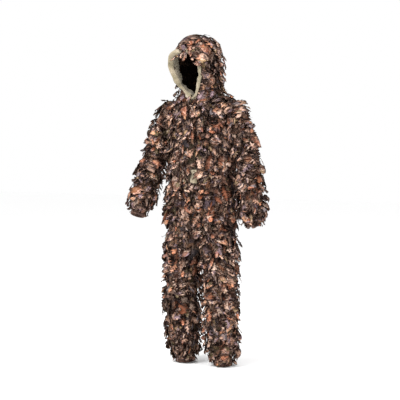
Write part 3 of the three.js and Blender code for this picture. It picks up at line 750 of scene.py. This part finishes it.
OUTLINES = np.array([
    leaf_outline(*shape)
    for shape in (
        (0.56, 0.62, 4, 0.15, 0.75, 0), (0.50, 0.55, 4, 0.13, 0.90, 1), (0.40, 0.50, 4, 0.11, 0.70, 2),
        (0.30, 0.55, 3, 0.08, 1.00, 0), (0.26, 0.50, 3, 0.07, 0.80, 1), (0.36, 0.45, 3, 0.06, 1.20, 2),
        (0.26, 0.68, 2, 0.10, 0.85, 0), (0.30, 0.70, 2, 0.12, 0.70, 1), (0.20, 0.62, 2, 0.09, 0.60, 1),
        (0.15, 0.60, 2, 0.08, 0.55, 0), (0.12, 0.50, 2, 0.07, 0.70, 1), (0.22, 0.60, 4, 0.11, 0.65, 2),
        (0.42, 0.38, 3, 0.05, 1.10, 1), (0.33, 0.66, 2, 0.13, 0.95, 0), (0.28, 0.40, 4, 0.05, 1.30, 1),
        (0.24, 0.72, 2, 0.12, 1.10, 0),
    )
])
EDGE = np.array([[1.0, 0.45, 0.0, 0.45, 1.0]] * LEAF_ROWS)
EDGE[0] = EDGE[-1] = 1.0


def leaf_faces():
    """Front and back faces of one leaf. The back shares the rim's points."""
    front = np.arange(LEAF_ROWS * LEAF_COLS).reshape(LEAF_ROWS, LEAF_COLS)
    back = front.copy()
    inner = np.arange((LEAF_ROWS - 2) * (LEAF_COLS - 2)).reshape(LEAF_ROWS - 2, -1)
    back[1:-1, 1:-1] = front.size + inner
    quads = sheet_quads(front.shape)
    over, down = np.meshgrid(np.linspace(0, 1, LEAF_COLS), np.linspace(0, 1, LEAF_ROWS))
    corner = np.stack([over, down], -1).reshape(-1, 2)
    uv = np.concatenate([
        corner[quads] * (0.46, 0.94) + (0.02, 0.03),
        corner[quads[:, ::-1]] * (0.46, 0.94) + (0.52, 0.03),
    ])
    return np.concatenate([quads, back.ravel()[quads][:, ::-1]]), uv


LEAF_QUADS, LEAF_UV = leaf_faces()
LEAF_POINTS = LEAF_ROWS * LEAF_COLS + (LEAF_ROWS - 2) * (LEAF_COLS - 2)


def leaf_shapes(count, cap, lift, lean):
    """Random leaves in their own coordinates: along, across and over the cloth."""
    length = random.uniform(*LEAF_LENGTHS, count) * random.choice([0.8, 1.0, 1.2], count, p=[0.3, 0.5, 0.2])
    kind = OUTLINES[random.integers(0, len(OUTLINES), count)]
    u, v = kind[..., 0], kind[..., 1] * length[:, None, None]
    each = lambda low, high: random.uniform(low, high, count)[:, None, None]
    size = length[:, None, None]
    start = np.radians(each(8, 34) * lift)
    curl = np.radians(each(-70, 95))
    curl = np.where(np.abs(curl) < 0.05, 0.05, curl)
    along = size / curl * (np.sin(start + curl * u) - np.sin(start))
    over = -size / curl * (np.cos(start + curl * u) - np.cos(start))
    twist = np.radians(each(-55, 55)) * u
    over = over + v * np.sin(twist) + each(-14, 26) * v * v
    across = v * np.cos(twist)
    over += each(0.0005, 0.0028) * np.sin(2 * math.pi * (u * each(1.2, 2.6) + each(0, 1)))
    over += each(0.0005, 0.0025) * np.sin(2 * math.pi * (v / 0.03 + each(0, 1))) * u
    turn = np.radians(each(-48, 48) * (1 - np.abs(lean))[:, None, None] + 38 * lean[:, None, None])
    turned = along * np.cos(turn) - across * np.sin(turn)
    across = along * np.sin(turn) + across * np.cos(turn)
    along = turned
    over = 0.0016 + cap * np.tanh(np.maximum(over, 0) / cap) + 0.0012 * u
    return along, across, over, u, v, length


def per_leaf(values):
    """A value for each leaf, repeated for each of its points."""
    return np.repeat(values, LEAF_POINTS)


def both_sides(grid):
    """A value at each point of each leaf, for its front and then its back."""
    count = len(grid)
    return np.concatenate([grid.reshape(count, -1), grid[:, 1:-1, 1:-1].reshape(count, -1)], 1).ravel()


def leaf_uv(count):
    """Each leaf's own cell of the piece's UV square."""
    cells = math.ceil(math.sqrt(count))
    corner = np.stack([np.arange(count) % cells, np.arange(count) // cells], -1)[:, None, None]
    return ((LEAF_UV[None] + corner) / cells).reshape(-1, 2)


def leaf_piece(
    name, surface, s, theta, rule, nodes, cap=LEAF_CAP, lift=1.0, overhang=0.02, lean_at=None
):
    """One piece with a leaf at each place (s, theta) of a surface.

    lean_at gives how far leaves at some points turn aside, from -1 to 1, and overhang how far they
    may reach past the surface's end.
    """
    count = len(s)
    lean = np.zeros(count) if lean_at is None else lean_at(surface.at(s, theta, np.zeros(count)))
    along, across, over, u, v, length = leaf_shapes(count, cap, lift, lean)
    room = surface.length[-1] + overhang - s
    longest = along.max(1, keepdims=True).max(2, keepdims=True)
    shrink = np.minimum(1, room[:, None, None] / np.maximum(longest, 1e-3))
    along, across, over = along * shrink, across * shrink, over * shrink
    speed = np.maximum(surface.sample(surface.speed, s, theta), 0.03)
    at_s = s[:, None, None] + along
    at_theta = theta[:, None, None] + across / speed[:, None, None]
    base = random.uniform(0.0002, 0.0022, count)[:, None, None]
    points = inside(surface.at(at_s, at_theta, over + base))
    down = np.gradient(points, axis=1)
    side = np.gradient(points, axis=2)
    normal = unit(np.cross(down, side))
    back = (points - normal * LEAF_THICK)[:, 1:-1, 1:-1]
    every = np.concatenate([points.reshape(count, -1, 3), back.reshape(count, -1, 3)], 1)
    shift = random.uniform(-2, 2, (count, 3))[:, :, None, None]
    flat_s = u * length[:, None, None] + shift[:, 0] + s[:, None, None]
    flat_v = v + shift[:, 1]
    deep = np.broadcast_to(shift[:, 2], u.shape)
    values = {
        "print_at": np.stack([both_sides(flat_s), both_sides(flat_v), both_sides(deep)], -1),
        "leaf_edge": both_sides(np.broadcast_to(EDGE, u.shape)),
        "leaf_along": both_sides(u),
        "leaf_tone": per_leaf(random.uniform(0, 1, count)),
        "leaf_rust": per_leaf(random.uniform(0, 1, count)),
    }
    start = np.arange(count)[:, None, None] * LEAF_POINTS
    faces = (LEAF_QUADS[None] + start).reshape(-1, 4)
    reverse = np.tile(np.repeat([0.0, 1.0], len(LEAF_QUADS) // 2), count)
    obj = mesh_object(name, every, faces, ["leaf"], values, {"leaf_back": reverse}, leaf_uv(count))
    return dress(obj, nodes, rule)


PROUD = [0.03 * (high - low) + 0.008 for low, high in zip(cad_low, cad_high)]


def inside(points):
    """Keeps leaf tips inside the room that cloth may take round the CAD box."""
    low = np.array(cad_low) - PROUD
    high = np.array(cad_high) + PROUD
    return np.clip(points, low, high)


def leaf_places(surface, row_s, keep, phase):
    """Where the leaves of one row start, spaced round the surface, with a little scatter."""
    girth = float(np.interp(row_s, surface.length, surface.girth))
    count = max(4, round(girth / LEAF_SPACING))
    theta = (np.arange(count) + phase + random.uniform(-0.35, 0.35, count)) * 2 * math.pi / count
    s = row_s + random.uniform(-0.011, 0.011, count)
    ok = surface.covered(s, theta)
    if keep is not None:
        ok &= keep(surface.at(s, theta, np.zeros(count)))
    return s[ok], theta[ok]


def leaf_rows(tag, surface, start, end, rule_at, nodes_at, keep=None, row=LEAF_ROW, **options):
    """Rows of leaves down a surface.

    rule_at and nodes_at give what the row at a place follows and which CAD nodes it stands for.
    """
    named = set()
    for k, row_s in enumerate(spaced(start, end, row)):
        s, theta = leaf_places(surface, row_s, keep, 0.5 * (k % 2))
        if len(s) == 0:
            continue
        nodes = [n for n in nodes_at(row_s) if n not in named]
        named.update(nodes)
        leaf_piece(f"{tag}_{k:02d}", surface, s, theta, rule_at(row_s), nodes, **options)


# ---- Jacket and hood -----------------------------------------------------------------------------
FACE_MIDDLE = THROAT + FACE_UP * 0.143


def smooth_step(t):
    t = np.clip(t, 0, 1)
    return t * t * (3 - 2 * t)


def face_outline(sine, cosine):
    """How far the face opening reaches in its plane: it narrows to the throat, and its left side
    folds further in. The angle runs from the top towards the wearer's left."""
    slope = np.where(sine > 0, 0.35, 1.05)
    share = np.where(sine > 0, 0.056, 0.128)
    side = share / np.maximum(np.abs(sine) - slope * np.minimum(cosine, 0), 0.04)
    floor = 0.118 / np.maximum(-cosine, 0.05)
    brow = (0.120 - 0.03 * np.maximum(sine, 0)) / np.maximum(cosine, 0.05)
    return (side**-7 + floor**-7 + brow**-7) ** (-1 / 7)


def in_face_plane(points):
    """How far points lie behind the plane of the face opening, and outside the opening's outline."""
    away = points - np.array(FACE_MIDDLE)
    across, up = away[..., 0], away @ np.array(FACE_UP)
    reach = np.maximum(np.hypot(across, up), 1e-6)
    return away @ np.array(FACE_BACK), reach - face_outline(across / reach, up / reach)


def clear_of_face(points, margin):
    """Whether points lie that far behind the face opening, or as far outside its outline."""
    behind, outside = in_face_plane(points)
    return (behind > margin) | (points[..., 2] < THROAT.z - 0.004) | (outside > margin)


def close_underarms(body):
    """Closes the low part of each armhole with the jacket's side, which shows once an arm is up."""
    z = body.points[..., 2]
    body.hit |= (z < -0.095) & (z > -0.260)


def soften_crown(body):
    """The top of the hood sags a little between the head and the CAD's crown."""
    z = body.points[..., 2]
    body.points[..., 2] = z - 0.016 * smooth_step((z - 0.17) / 0.15)
    body.measure()


def draw_in_opening(body):
    """The hood's cloth between its cut edge and the opening's outline, laid in the opening's plane."""
    behind, outside = in_face_plane(body.points)
    above = (body.points[..., 2] > THROAT.z - 0.02) & (body.points[..., 2] < 0.270)
    drawn = above & (body.points[..., 1] < -0.04) & (behind < 0.004)
    body.points += np.where(drawn, 0.004 - behind, 0)[..., None] * np.array(FACE_BACK)
    body.hit |= drawn & (outside > 0.0)
    body.measure()


def build_jacket():
    body = body_surface()
    soften_crown(body)
    close_underarms(body)
    draw_in_opening(body)
    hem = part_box("jacket_hem_band")[1].z
    neck_low, neck_high = body.height_to_s(-0.066), body.height_to_s(0.082)
    hem_s = body.height_to_s(hem)

    def behind(grid):
        return clear_of_face(grid, 0.005)

    def off_zip(grid):
        channel = (np.abs(grid[..., 0]) < 0.006) & (grid[..., 1] < 0)
        return ~channel

    hood = cloth_piece("hood_cloth", body, 0.0, neck_high, 0.0018, 3, behind)
    dress(hood, ["hood_side_panel_left", "hood_side_panel_right", "hood_centre_panel"], "hood")
    neck = cloth_piece("neck_cloth", body, neck_high, neck_low, 0.0015, 4, behind)
    dress(neck, ["hood_neck_section"], neck_rule())
    panels = cloth_piece("jacket_cloth", body, neck_low, hem_s, 0.0030, 5, off_zip)
    nodes = ["jacket_back_panel", "jacket_front_panel_left", "jacket_front_panel_right"]
    dress(panels, nodes, "jacket")
    end = body.length[-1]
    band = cloth_piece("hem_band", body, hem_s - 0.004, end, 0.0012, 6, off_zip, "elastic", 0.0026)
    dress(band, ["jacket_hem_band"], "jacket")
    return body


def leaf_jacket(body):
    neck_low, neck_high = body.height_to_s(-0.070), body.height_to_s(0.084)

    def rule(s):
        if s > neck_low:
            return "jacket"
        return neck_rule() if s > neck_high - 0.05 else "hood"

    def nodes(s):
        if s > neck_low:
            return ["leaf_cover_back", "leaf_cover_front_left", "leaf_cover_front_right"]
        return [] if s > neck_high - 0.05 else ["leaf_cover_hood"]

    def keep(points):
        zip_channel = (np.abs(points[:, 0]) < 0.010) & (points[:, 1] < 0) & (points[:, 2] < -0.03)
        hanging = points + np.array([0, 0, -0.030])
        near_side = (points[:, 0] > 0.02) & (points[:, 2] > 0.02)
        margin = np.where(near_side, 0.024, 0.010) - 0.006 * (points[:, 2] < 0.02)
        brow = points[:, 2] > 0.19
        margin = np.where(brow, 0.004, margin)
        drop = np.where(brow, -0.024, -0.014)
        return clear_of_face(points, margin) & clear_of_face(hanging, drop) & ~zip_channel

    low = body.length[-1] - 0.016

    def lean_at(points):
        """Leaves beside the zip lean over it."""
        beside = (np.abs(points[:, 0]) < 0.032) & (points[:, 1] < 0) & (points[:, 2] < -0.03)
        return np.where(beside, -0.85 * np.sign(points[:, 0]), 0.0)

    crown = body.height_to_s(0.250)
    leaf_rows("leaves_crown", body, body.length[1], crown, rule, nodes, keep, row=0.034, cap=0.009)

    def jacket_nodes(s):
        return nodes(s) if s > neck_low else []

    leaf_rows("leaves_body", body, crown + 0.03, low, rule, jacket_nodes, keep, lean_at=lean_at)


def build_facing():
    """The khaki strip round the face: a short band outside, a rolled rim and a deep band inside."""
    middle = FACE_MIDDLE
    panels = ["hood_side_panel_left", "hood_side_panel_right", "hood_centre_panel"]
    tree = target(["hood_facing", *panels])[0]
    count = 144
    angles = np.arange(count) * 2 * math.pi / count
    depths = np.linspace(0.002, 0.060, 15)
    reach = np.full((len(depths), count), np.nan)
    for i, depth in enumerate(depths):
        for j, angle in enumerate(angles):
            ray = Vector((1, 0, 0)) * math.sin(angle) + FACE_UP * math.cos(angle)
            reach[i, j] = Surface.cast(middle + FACE_BACK * depth, ray, [(tree, 0.0)])
    edge = reach[0].copy()
    rim = face_outline(np.sin(angles), np.cos(angles))
    reach = Surface.blurred(np.fmin(reach, rim + 0.013), 2, 3)
    flat = smooth_step(np.clip(np.nan_to_num(edge - rim - 0.002, nan=1.0) / 0.012, 0, 1))
    section = [  # depth behind the face, height over the hood, share of the narrow opening's outline
        (0.024, 0.0012, 0.0), (0.020, 0.0036, 0.0), (0.014, 0.0046, 0.15), (0.008, 0.0052, 0.5),
        (0.002, 0.0050, 0.85), (-0.003, 0.0034, 1.0), (-0.005, 0.0004, 1.0), (-0.0045, -0.0030, 1.0),
        (-0.001, -0.0056, 1.0), (0.005, -0.0076, 0.9), (0.013, -0.0092, 0.7), (0.024, -0.0104, 0.4),
        (0.036, -0.0110, 0.2), (0.047, -0.0114, 0.1), (0.056, -0.0114, 0.0), (0.059, -0.0092, 0.0),
    ]
    rays = np.outer(np.sin(angles), (1, 0, 0)) + np.outer(np.cos(angles), FACE_UP)
    points, where = [], []
    run = 0.0
    arc = angles * 0.105
    far = smooth_step((-np.sin(angles) - 0.15) / 0.5) * smooth_step((np.cos(angles) + 0.85) / 0.5)
    for k, (depth, out, narrow) in enumerate(section):
        if k:
            run += math.hypot(depth - section[k - 1][0], out - section[k - 1][1])
        i = np.clip(np.interp(depth, depths, np.arange(len(depths))), 0, len(depths) - 1)
        low = int(i)
        high = min(low + 1, len(depths) - 1)
        radius = reach[low] * (1 - (i - low)) + reach[high] * (i - low)
        radius = radius + narrow * np.minimum(rim - radius, 0)
        loose = 0.0012 + 0.0016 * (depth > 0.02)
        flutter = waves(np.full(count, depth * 1.5), arc, 0.05, 6, 77) * loose
        pushed = far * smooth_step((0.034 - depth) / 0.034)
        radius = radius + pushed * (0.008 if k < 9 else -0.004) - 0.003 * (k >= 9)
        forward = depth - (depth + 0.003) * flat * (k < 8) - 0.024 * pushed
        line = np.array(middle) + forward[:, None] * np.array(FACE_BACK)
        wobble = waves(np.full(count, run), arc, 0.07, 5, 78)[:, None] * 0.0022 * np.array(FACE_BACK)
        points.append(line + rays * (radius + out + flutter)[:, None] + wobble)
        where.append(np.stack([np.full(count, run), arc, np.zeros(count)], -1))
    strip = ringed_band("hood_facing_strip", "facing", points, where, FACING_THICK)
    return dress(strip, ["hood_facing"], neck_rule())


# ---- Sleeves -------------------------------------------------------------------------------------
def build_arm(side):
    arm = arm_surface(side)
    split = arm.height_to_s((SHOULDER[side].z * 0.4 + ELBOW[side].z * 0.6))
    cuff_s = arm.length[-1] - CUFF
    upper = cloth_piece(f"sleeve_top_{side}", arm, 0.0, split, 0.0026, 11 + SIGN[side])
    nodes = [f"shoulder_section_{side}", f"sleeve_upper_{side}"]
    dress(upper, nodes, shoulder_rule(side))
    lower = cloth_piece(f"sleeve_low_{side}", arm, split, cuff_s, 0.0026, 15 + SIGN[side])
    nodes = [f"elbow_section_{side}", f"sleeve_lower_{side}"]
    dress(lower, nodes, elbow_rule(side))
    cuff = build_gathers(f"cuff_band_{side}", arm, cuff_s)
    dress(cuff, [f"cuff_{side}", f"cuff_elastic_{side}"], f"forearm_{side}")

    def rule(s):
        return shoulder_rule(side) if s < split else elbow_rule(side)

    def leaf_nodes(s):
        return [f"leaf_cover_sleeve_{'upper' if s < split else 'lower'}_{side}"]

    overhang = 0.006 if side == "left" else -0.008
    start, end = arm.length[5], arm.length[-1] - 0.020
    leaf_rows(f"leaves_arm_{side}", arm, start, end, rule, leaf_nodes, row=0.034, overhang=overhang)


def build_gathers(name, surface, start):
    """A band drawn in by elastic at a surface's end: fine gathers round it and a rolled edge."""
    length = surface.length[-1] - start
    count = 320
    theta = np.arange(count) * 2 * math.pi / count
    profile = [  # share of the band's length, height over the cloth
        (0.0, 0.0012), (0.15, 0.0022), (0.35, 0.0012), (0.5, 0.0020), (0.65, 0.0012), (0.85, 0.0022),
        (0.97, 0.0016), (1.0, -0.0004), (0.96, -0.0026), (0.7, -0.0034), (0.4, -0.0034), (0.1, -0.0032),
    ]
    points, where = [], []
    for k, (t, out) in enumerate(profile):
        s = np.full(count, start + t * length)
        gathers = np.sin(theta * 34 + 1.3 * np.sin(theta * 5) + 0.5 * math.sin(7 * t))
        height = out + 0.0013 * gathers * (1 - 0.3 * math.cos(2 * math.pi * t))
        points.append(surface.at(s, theta, height))
        along = np.full(count, start + k * 0.005)
        where.append(np.stack([along, theta * 0.045, np.full(count, 0.2)], -1))
    return ringed_band(name, "cuff", points, where, BAND_THICK)


# ---- Trousers ------------------------------------------------------------------------------------
def build_seat():
    seat = seat_surface()
    band_s = seat.length[0] + WAISTBAND
    cloth = cloth_piece("seat_cloth", seat, band_s, seat.length[-1], 0.0022, 21)
    dress(cloth, ["trouser_seat_left", "trouser_seat_right"], "trousers")
    build_waistband(seat, band_s)

    def rule(_):
        return "trousers"

    def nodes(_):
        return ["leaf_cover_seat_left", "leaf_cover_seat_right"]

    def no_nodes(_):
        return []

    under, hem = seat.height_to_s(-0.545), seat.height_to_s(-0.600)
    leaf_rows("leaves_seat", seat, under, hem, rule, nodes, cap=0.006, lift=0.35, row=0.045)
    free, end = seat.height_to_s(-0.640), seat.length[-1] - 0.01
    leaf_rows("leaves_seat_low", seat, free, end, rule, no_nodes, cap=0.014)


def build_waistband(seat, band_s):
    """The gathered waistband, folded over its elastic."""
    count = 480
    theta = np.arange(count) * 2 * math.pi / count
    profile = [  # share of the band's length, height over the cloth
        (0.0, -0.0040), (0.0, 0.0004), (0.08, 0.0022), (0.3, 0.0012), (0.5, 0.0022), (0.7, 0.0012),
        (0.92, 0.0020), (1.02, 0.0006), (0.95, -0.0045), (0.5, -0.0050), (0.06, -0.0048),
    ]
    points, where = [], []
    for k, (t, out) in enumerate(profile):
        s = np.full(count, t * band_s)
        gathers = np.sin(theta * 74 + 1.6 * np.sin(theta * 7) + 0.7 * math.sin(5 * t))
        points.append(seat.at(s, theta, out + 0.0016 * gathers * (out > 0)))
        where.append(np.stack([np.full(count, k * 0.006), theta * 0.13, np.full(count, 0.5)], -1))
    band = ringed_band("waistband", "elastic", points, where, BAND_THICK)
    dress(band, ["waistband_casing", "waist_elastic"], "trousers")


def build_leg(side):
    leg = leg_surface(side)
    split = leg.height_to_s(-0.960)
    cuff_s = leg.length[-1] - ANKLE_CUFF
    upper = cloth_piece(f"leg_top_{side}", leg, 0.0, split, 0.0028, 31 + SIGN[side])
    dress(upper, [f"hip_section_{side}", f"trouser_thigh_{side}"], hip_rule(side))
    lower = cloth_piece(f"leg_low_{side}", leg, split, cuff_s, 0.0028, 35 + SIGN[side])
    dress(lower, [f"knee_section_{side}", f"trouser_shin_{side}"], knee_rule(side))
    cuff = build_gathers(f"ankle_band_{side}", leg, cuff_s)
    dress(cuff, [f"ankle_cuff_{side}", f"ankle_elastic_{side}"], f"shin_{side}")

    def rule(s):
        return hip_rule(side) if s < split else knee_rule(side)

    def nodes(s):
        return [f"leaf_cover_{'thigh' if s < split else 'shin'}_{side}"]

    def keep(points):
        seat_inside = (points[:, 0] * SIGN[side] < 0.045) & (points[:, 2] > -0.80)
        return ~seat_inside

    end = leg.length[-1] - 0.030
    leaf_rows(f"leaves_leg_{side}", leg, 0.02, end, rule, nodes, keep, overhang=-0.002)


# ---- Zip, binding and placket ---------------------------------------------------------------------
def zip_frame():
    """The zip's top, the direction down it, and the direction out of it."""
    low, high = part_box("zip_tape_left")
    top = Vector((0, high.y, high.z))
    bottom = Vector((0, low.y, low.z))
    down = (bottom - top).normalized()
    out = Vector((0, down.z, -down.y))
    return top, bottom, down, out if out.y < 0 else -out


def block(centre, x, y, z, size, taper=0.75):
    """Eight corners of one zip tooth, narrower at its outer face."""
    corners = []
    for a, b, c in itertools.product((-1, 1), repeat=3):
        narrow = taper if b > 0 else 1.0
        across, out, along = a * size[0] * narrow, b * size[1], c * size[2] * narrow
        corners.append(centre + x * across + y * out + z * along)
    return corners


BLOCK = np.array([(0, 1, 3, 2), (4, 6, 7, 5), (0, 4, 5, 1), (2, 3, 7, 6), (0, 2, 6, 4), (1, 5, 7, 3)])


def build_zip():
    top, bottom, down, out = zip_frame()
    for side in SIDES:
        s = SIGN[side]
        low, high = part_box(f"zip_teeth_{side}")
        centre_x = (low.x + high.x) / 2
        length = (bottom - top).length - 0.008
        corners, faces = [], []
        for k in range(int(length / TOOTH_PITCH)):
            along = 0.004 + (k + 0.5 * (s > 0)) * TOOTH_PITCH
            place = Vector((centre_x - s * 0.0003, 0, 0)) + top + down * along - out * 0.0013
            faces.append(BLOCK + len(corners))
            corners += block(place, Vector((1, 0, 0)), out, down, (0.0014, 0.0013, 0.00075))
        faces = np.concatenate(faces)
        teeth = mesh_object(f"zip_teeth_row_{side}", corners, faces, ["metal"], smooth=False)
        bevel = teeth.modifiers.new("rounded", "BEVEL")
        bevel.width = 0.0002
        dress(teeth, [f"zip_teeth_{side}"], "jacket")
        build_tape(f"zip_tape_strip_{side}", f"zip_tape_{side}", top, down, out, s)


def build_tape(name, node, top, down, out, s):
    """A zip tape, slightly rippled, with its corded edge beside the teeth."""
    low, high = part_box(node)
    edges = np.linspace(0.0032, 0.0150, 7)
    heights = np.array([0.0008, 0.0012, 0.0003, 0.0, 0.0, 0.0, 0.0002])
    runs = np.linspace(0, (Vector((0, low.y, low.z)) - Vector((0, high.y, high.z))).length, 160)
    across, along = np.meshgrid(edges, runs)
    ripple = waves(along, across, 0.03, 4, 90 + s) * 0.0003
    points = (
        np.array(top) + along[..., None] * np.array(down)
        + (s * across)[..., None] * np.array((1, 0, 0))
        + (heights + ripple - 0.0012)[..., None] * np.array(out)
    )
    tape = sheet_piece(name, points, print_places(along, across), "tape", TAPE_THICK)
    dress(tape, [node], "jacket")


def print_places(first, second):
    """Points on the print from their first two coordinates."""
    return np.stack([first, second, np.zeros(first.shape)], -1).reshape(-1, 3)


def build_flap():
    """The khaki guard flap behind the zip."""
    top, bottom, down, out = zip_frame()
    low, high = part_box("zip_guard_flap")
    length = (bottom - top).length - 0.014
    across, along = np.meshgrid(np.linspace(low.x, high.x, 15), np.linspace(0.016, length, 150))
    ripple = waves(along, across, 0.06, 5, 95) * 0.0009
    points = (
        np.array(top) + along[..., None] * np.array(down) + across[..., None] * np.array((1, 0, 0))
        + (ripple - 0.0082)[..., None] * np.array(out)
    )
    flap = sheet_piece("zip_flap", points, print_places(across, along), "facing", FACING_THICK)
    dress(flap, ["zip_guard_flap"], "jacket")


def build_placket(body):
    """A plain khaki edge of the placket, left bare of leaves at the belly."""
    across, s = np.meshgrid(np.linspace(0.004, 0.040, 14), np.linspace(-0.440, -0.372, 22))
    down_s = np.interp(-s, -body.points[:, 0, 2], body.length)
    theta = across / float(np.interp(down_s.mean(), body.length, body.speed[:, 0]))
    lift = 0.006 + 0.0022 * waves(s, across, 0.04, 5, 96) + 0.006 * (across / 0.04) * (s + 0.44) / 0.068
    points = body.at(down_s, theta, lift)
    edge = sheet_piece("placket_edge", points, print_places(across, -s), "facing", FACING_THICK)
    dress(edge, [], "jacket")


def build_binding(body):
    """The tape bound over the neck seam, inside the collar."""
    count = 96
    theta = np.linspace(0.14 * math.pi, 1.86 * math.pi, count)
    rows = np.linspace(0, 1, 6)
    across, turn = np.meshgrid(rows, theta, indexing="ij")
    y = -np.cos(turn) * 0.1
    seam = -0.040 + 0.237 * (y + 0.084) - across * 0.018
    s = np.interp(-seam, -body.points[..., 2].mean(1), body.length)
    points = body.at(s, turn, np.full(s.shape, -0.0062) + 0.0010 * np.sin(across * math.pi))
    where = print_places(turn * 0.14, across * 0.02)
    tape = sheet_piece("neck_binding_tape", points, where, "binding", FACING_THICK)
    dress(tape, ["neck_tape"], "jacket")


def finish_metal():
    for node in ("zip_slider", "zip_pull", "zip_bottom_box"):
        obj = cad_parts[node]
        obj.data.materials.clear()
        obj.data.materials.append(MATERIALS["metal"])
        bevel = obj.modifiers.new("rounded", "BEVEL")
        bevel.width = 0.0003
        bevel.segments = 2


# ---- Studio --------------------------------------------------------------------------------------
def area_light(name, place, aim, size, energy):
    light = bpy.data.lights.new(name, "AREA")
    light.size = size
    light.energy = energy
    obj = bpy.data.objects.new(name, light)
    bpy.context.scene.collection.objects.link(obj)
    obj.location = place
    obj.rotation_mode = "QUATERNION"
    obj.rotation_quaternion = (Vector(aim) - Vector(place)).to_track_quat("-Z", "Y")


def build_studio():
    scene = bpy.context.scene
    middle = (cad_low + cad_high) / 2
    world = bpy.data.worlds.new("studio")
    world.use_nodes = True
    world.node_tree.nodes["Background"].inputs["Color"].default_value = (1, 1, 1, 1)
    world.node_tree.nodes["Background"].inputs["Strength"].default_value = 1.0
    scene.world = world
    scene.view_settings.view_transform = "Standard"

    bpy.ops.mesh.primitive_plane_add(size=30, location=(0, 0, cad_low.z - 0.003))
    floor = bpy.context.object
    floor.name = "studio_floor"
    pale = bpy.data.materials.new("studio_floor_pale")
    pale.use_nodes = True
    pale.node_tree.nodes["Principled BSDF"].inputs["Base Color"].default_value = (0.98, 0.98, 0.98, 1)
    pale.node_tree.nodes["Principled BSDF"].inputs["Roughness"].default_value = 0.9
    floor.data.materials.append(pale)
    area_light("key", middle + Vector((-0.9, -3.2, 2.9)), middle, 1.8, 200)
    area_light("side", middle + Vector((3.4, -1.6, 1.9)), middle, 2.0, 84)

    turn, rise, distance = math.radians(30), math.radians(3), 6.0
    across = Vector((math.cos(turn), math.sin(turn), 0))
    back = Vector((math.sin(turn) * math.cos(rise), -math.cos(turn) * math.cos(rise), math.sin(rise)))
    aim = across * -0.010 + Vector((0, 0, -0.530))
    camera = bpy.data.objects.new("camera", bpy.data.cameras.new("camera"))
    scene.collection.objects.link(camera)
    camera.data.sensor_width = 36
    camera.data.lens = 104.85
    camera.location = aim + back * distance
    camera.rotation_mode = "QUATERNION"
    camera.rotation_quaternion = (-back).to_track_quat("-Z", "Y")
    scene.camera = camera


body = build_jacket()
leaf_jacket(body)
build_facing()
for side in SIDES:
    build_arm(side)
build_seat()
for side in SIDES:
    build_leg(side)
build_zip()
build_flap()
build_placket(body)
build_binding(body)
finish_metal()
build_studio()
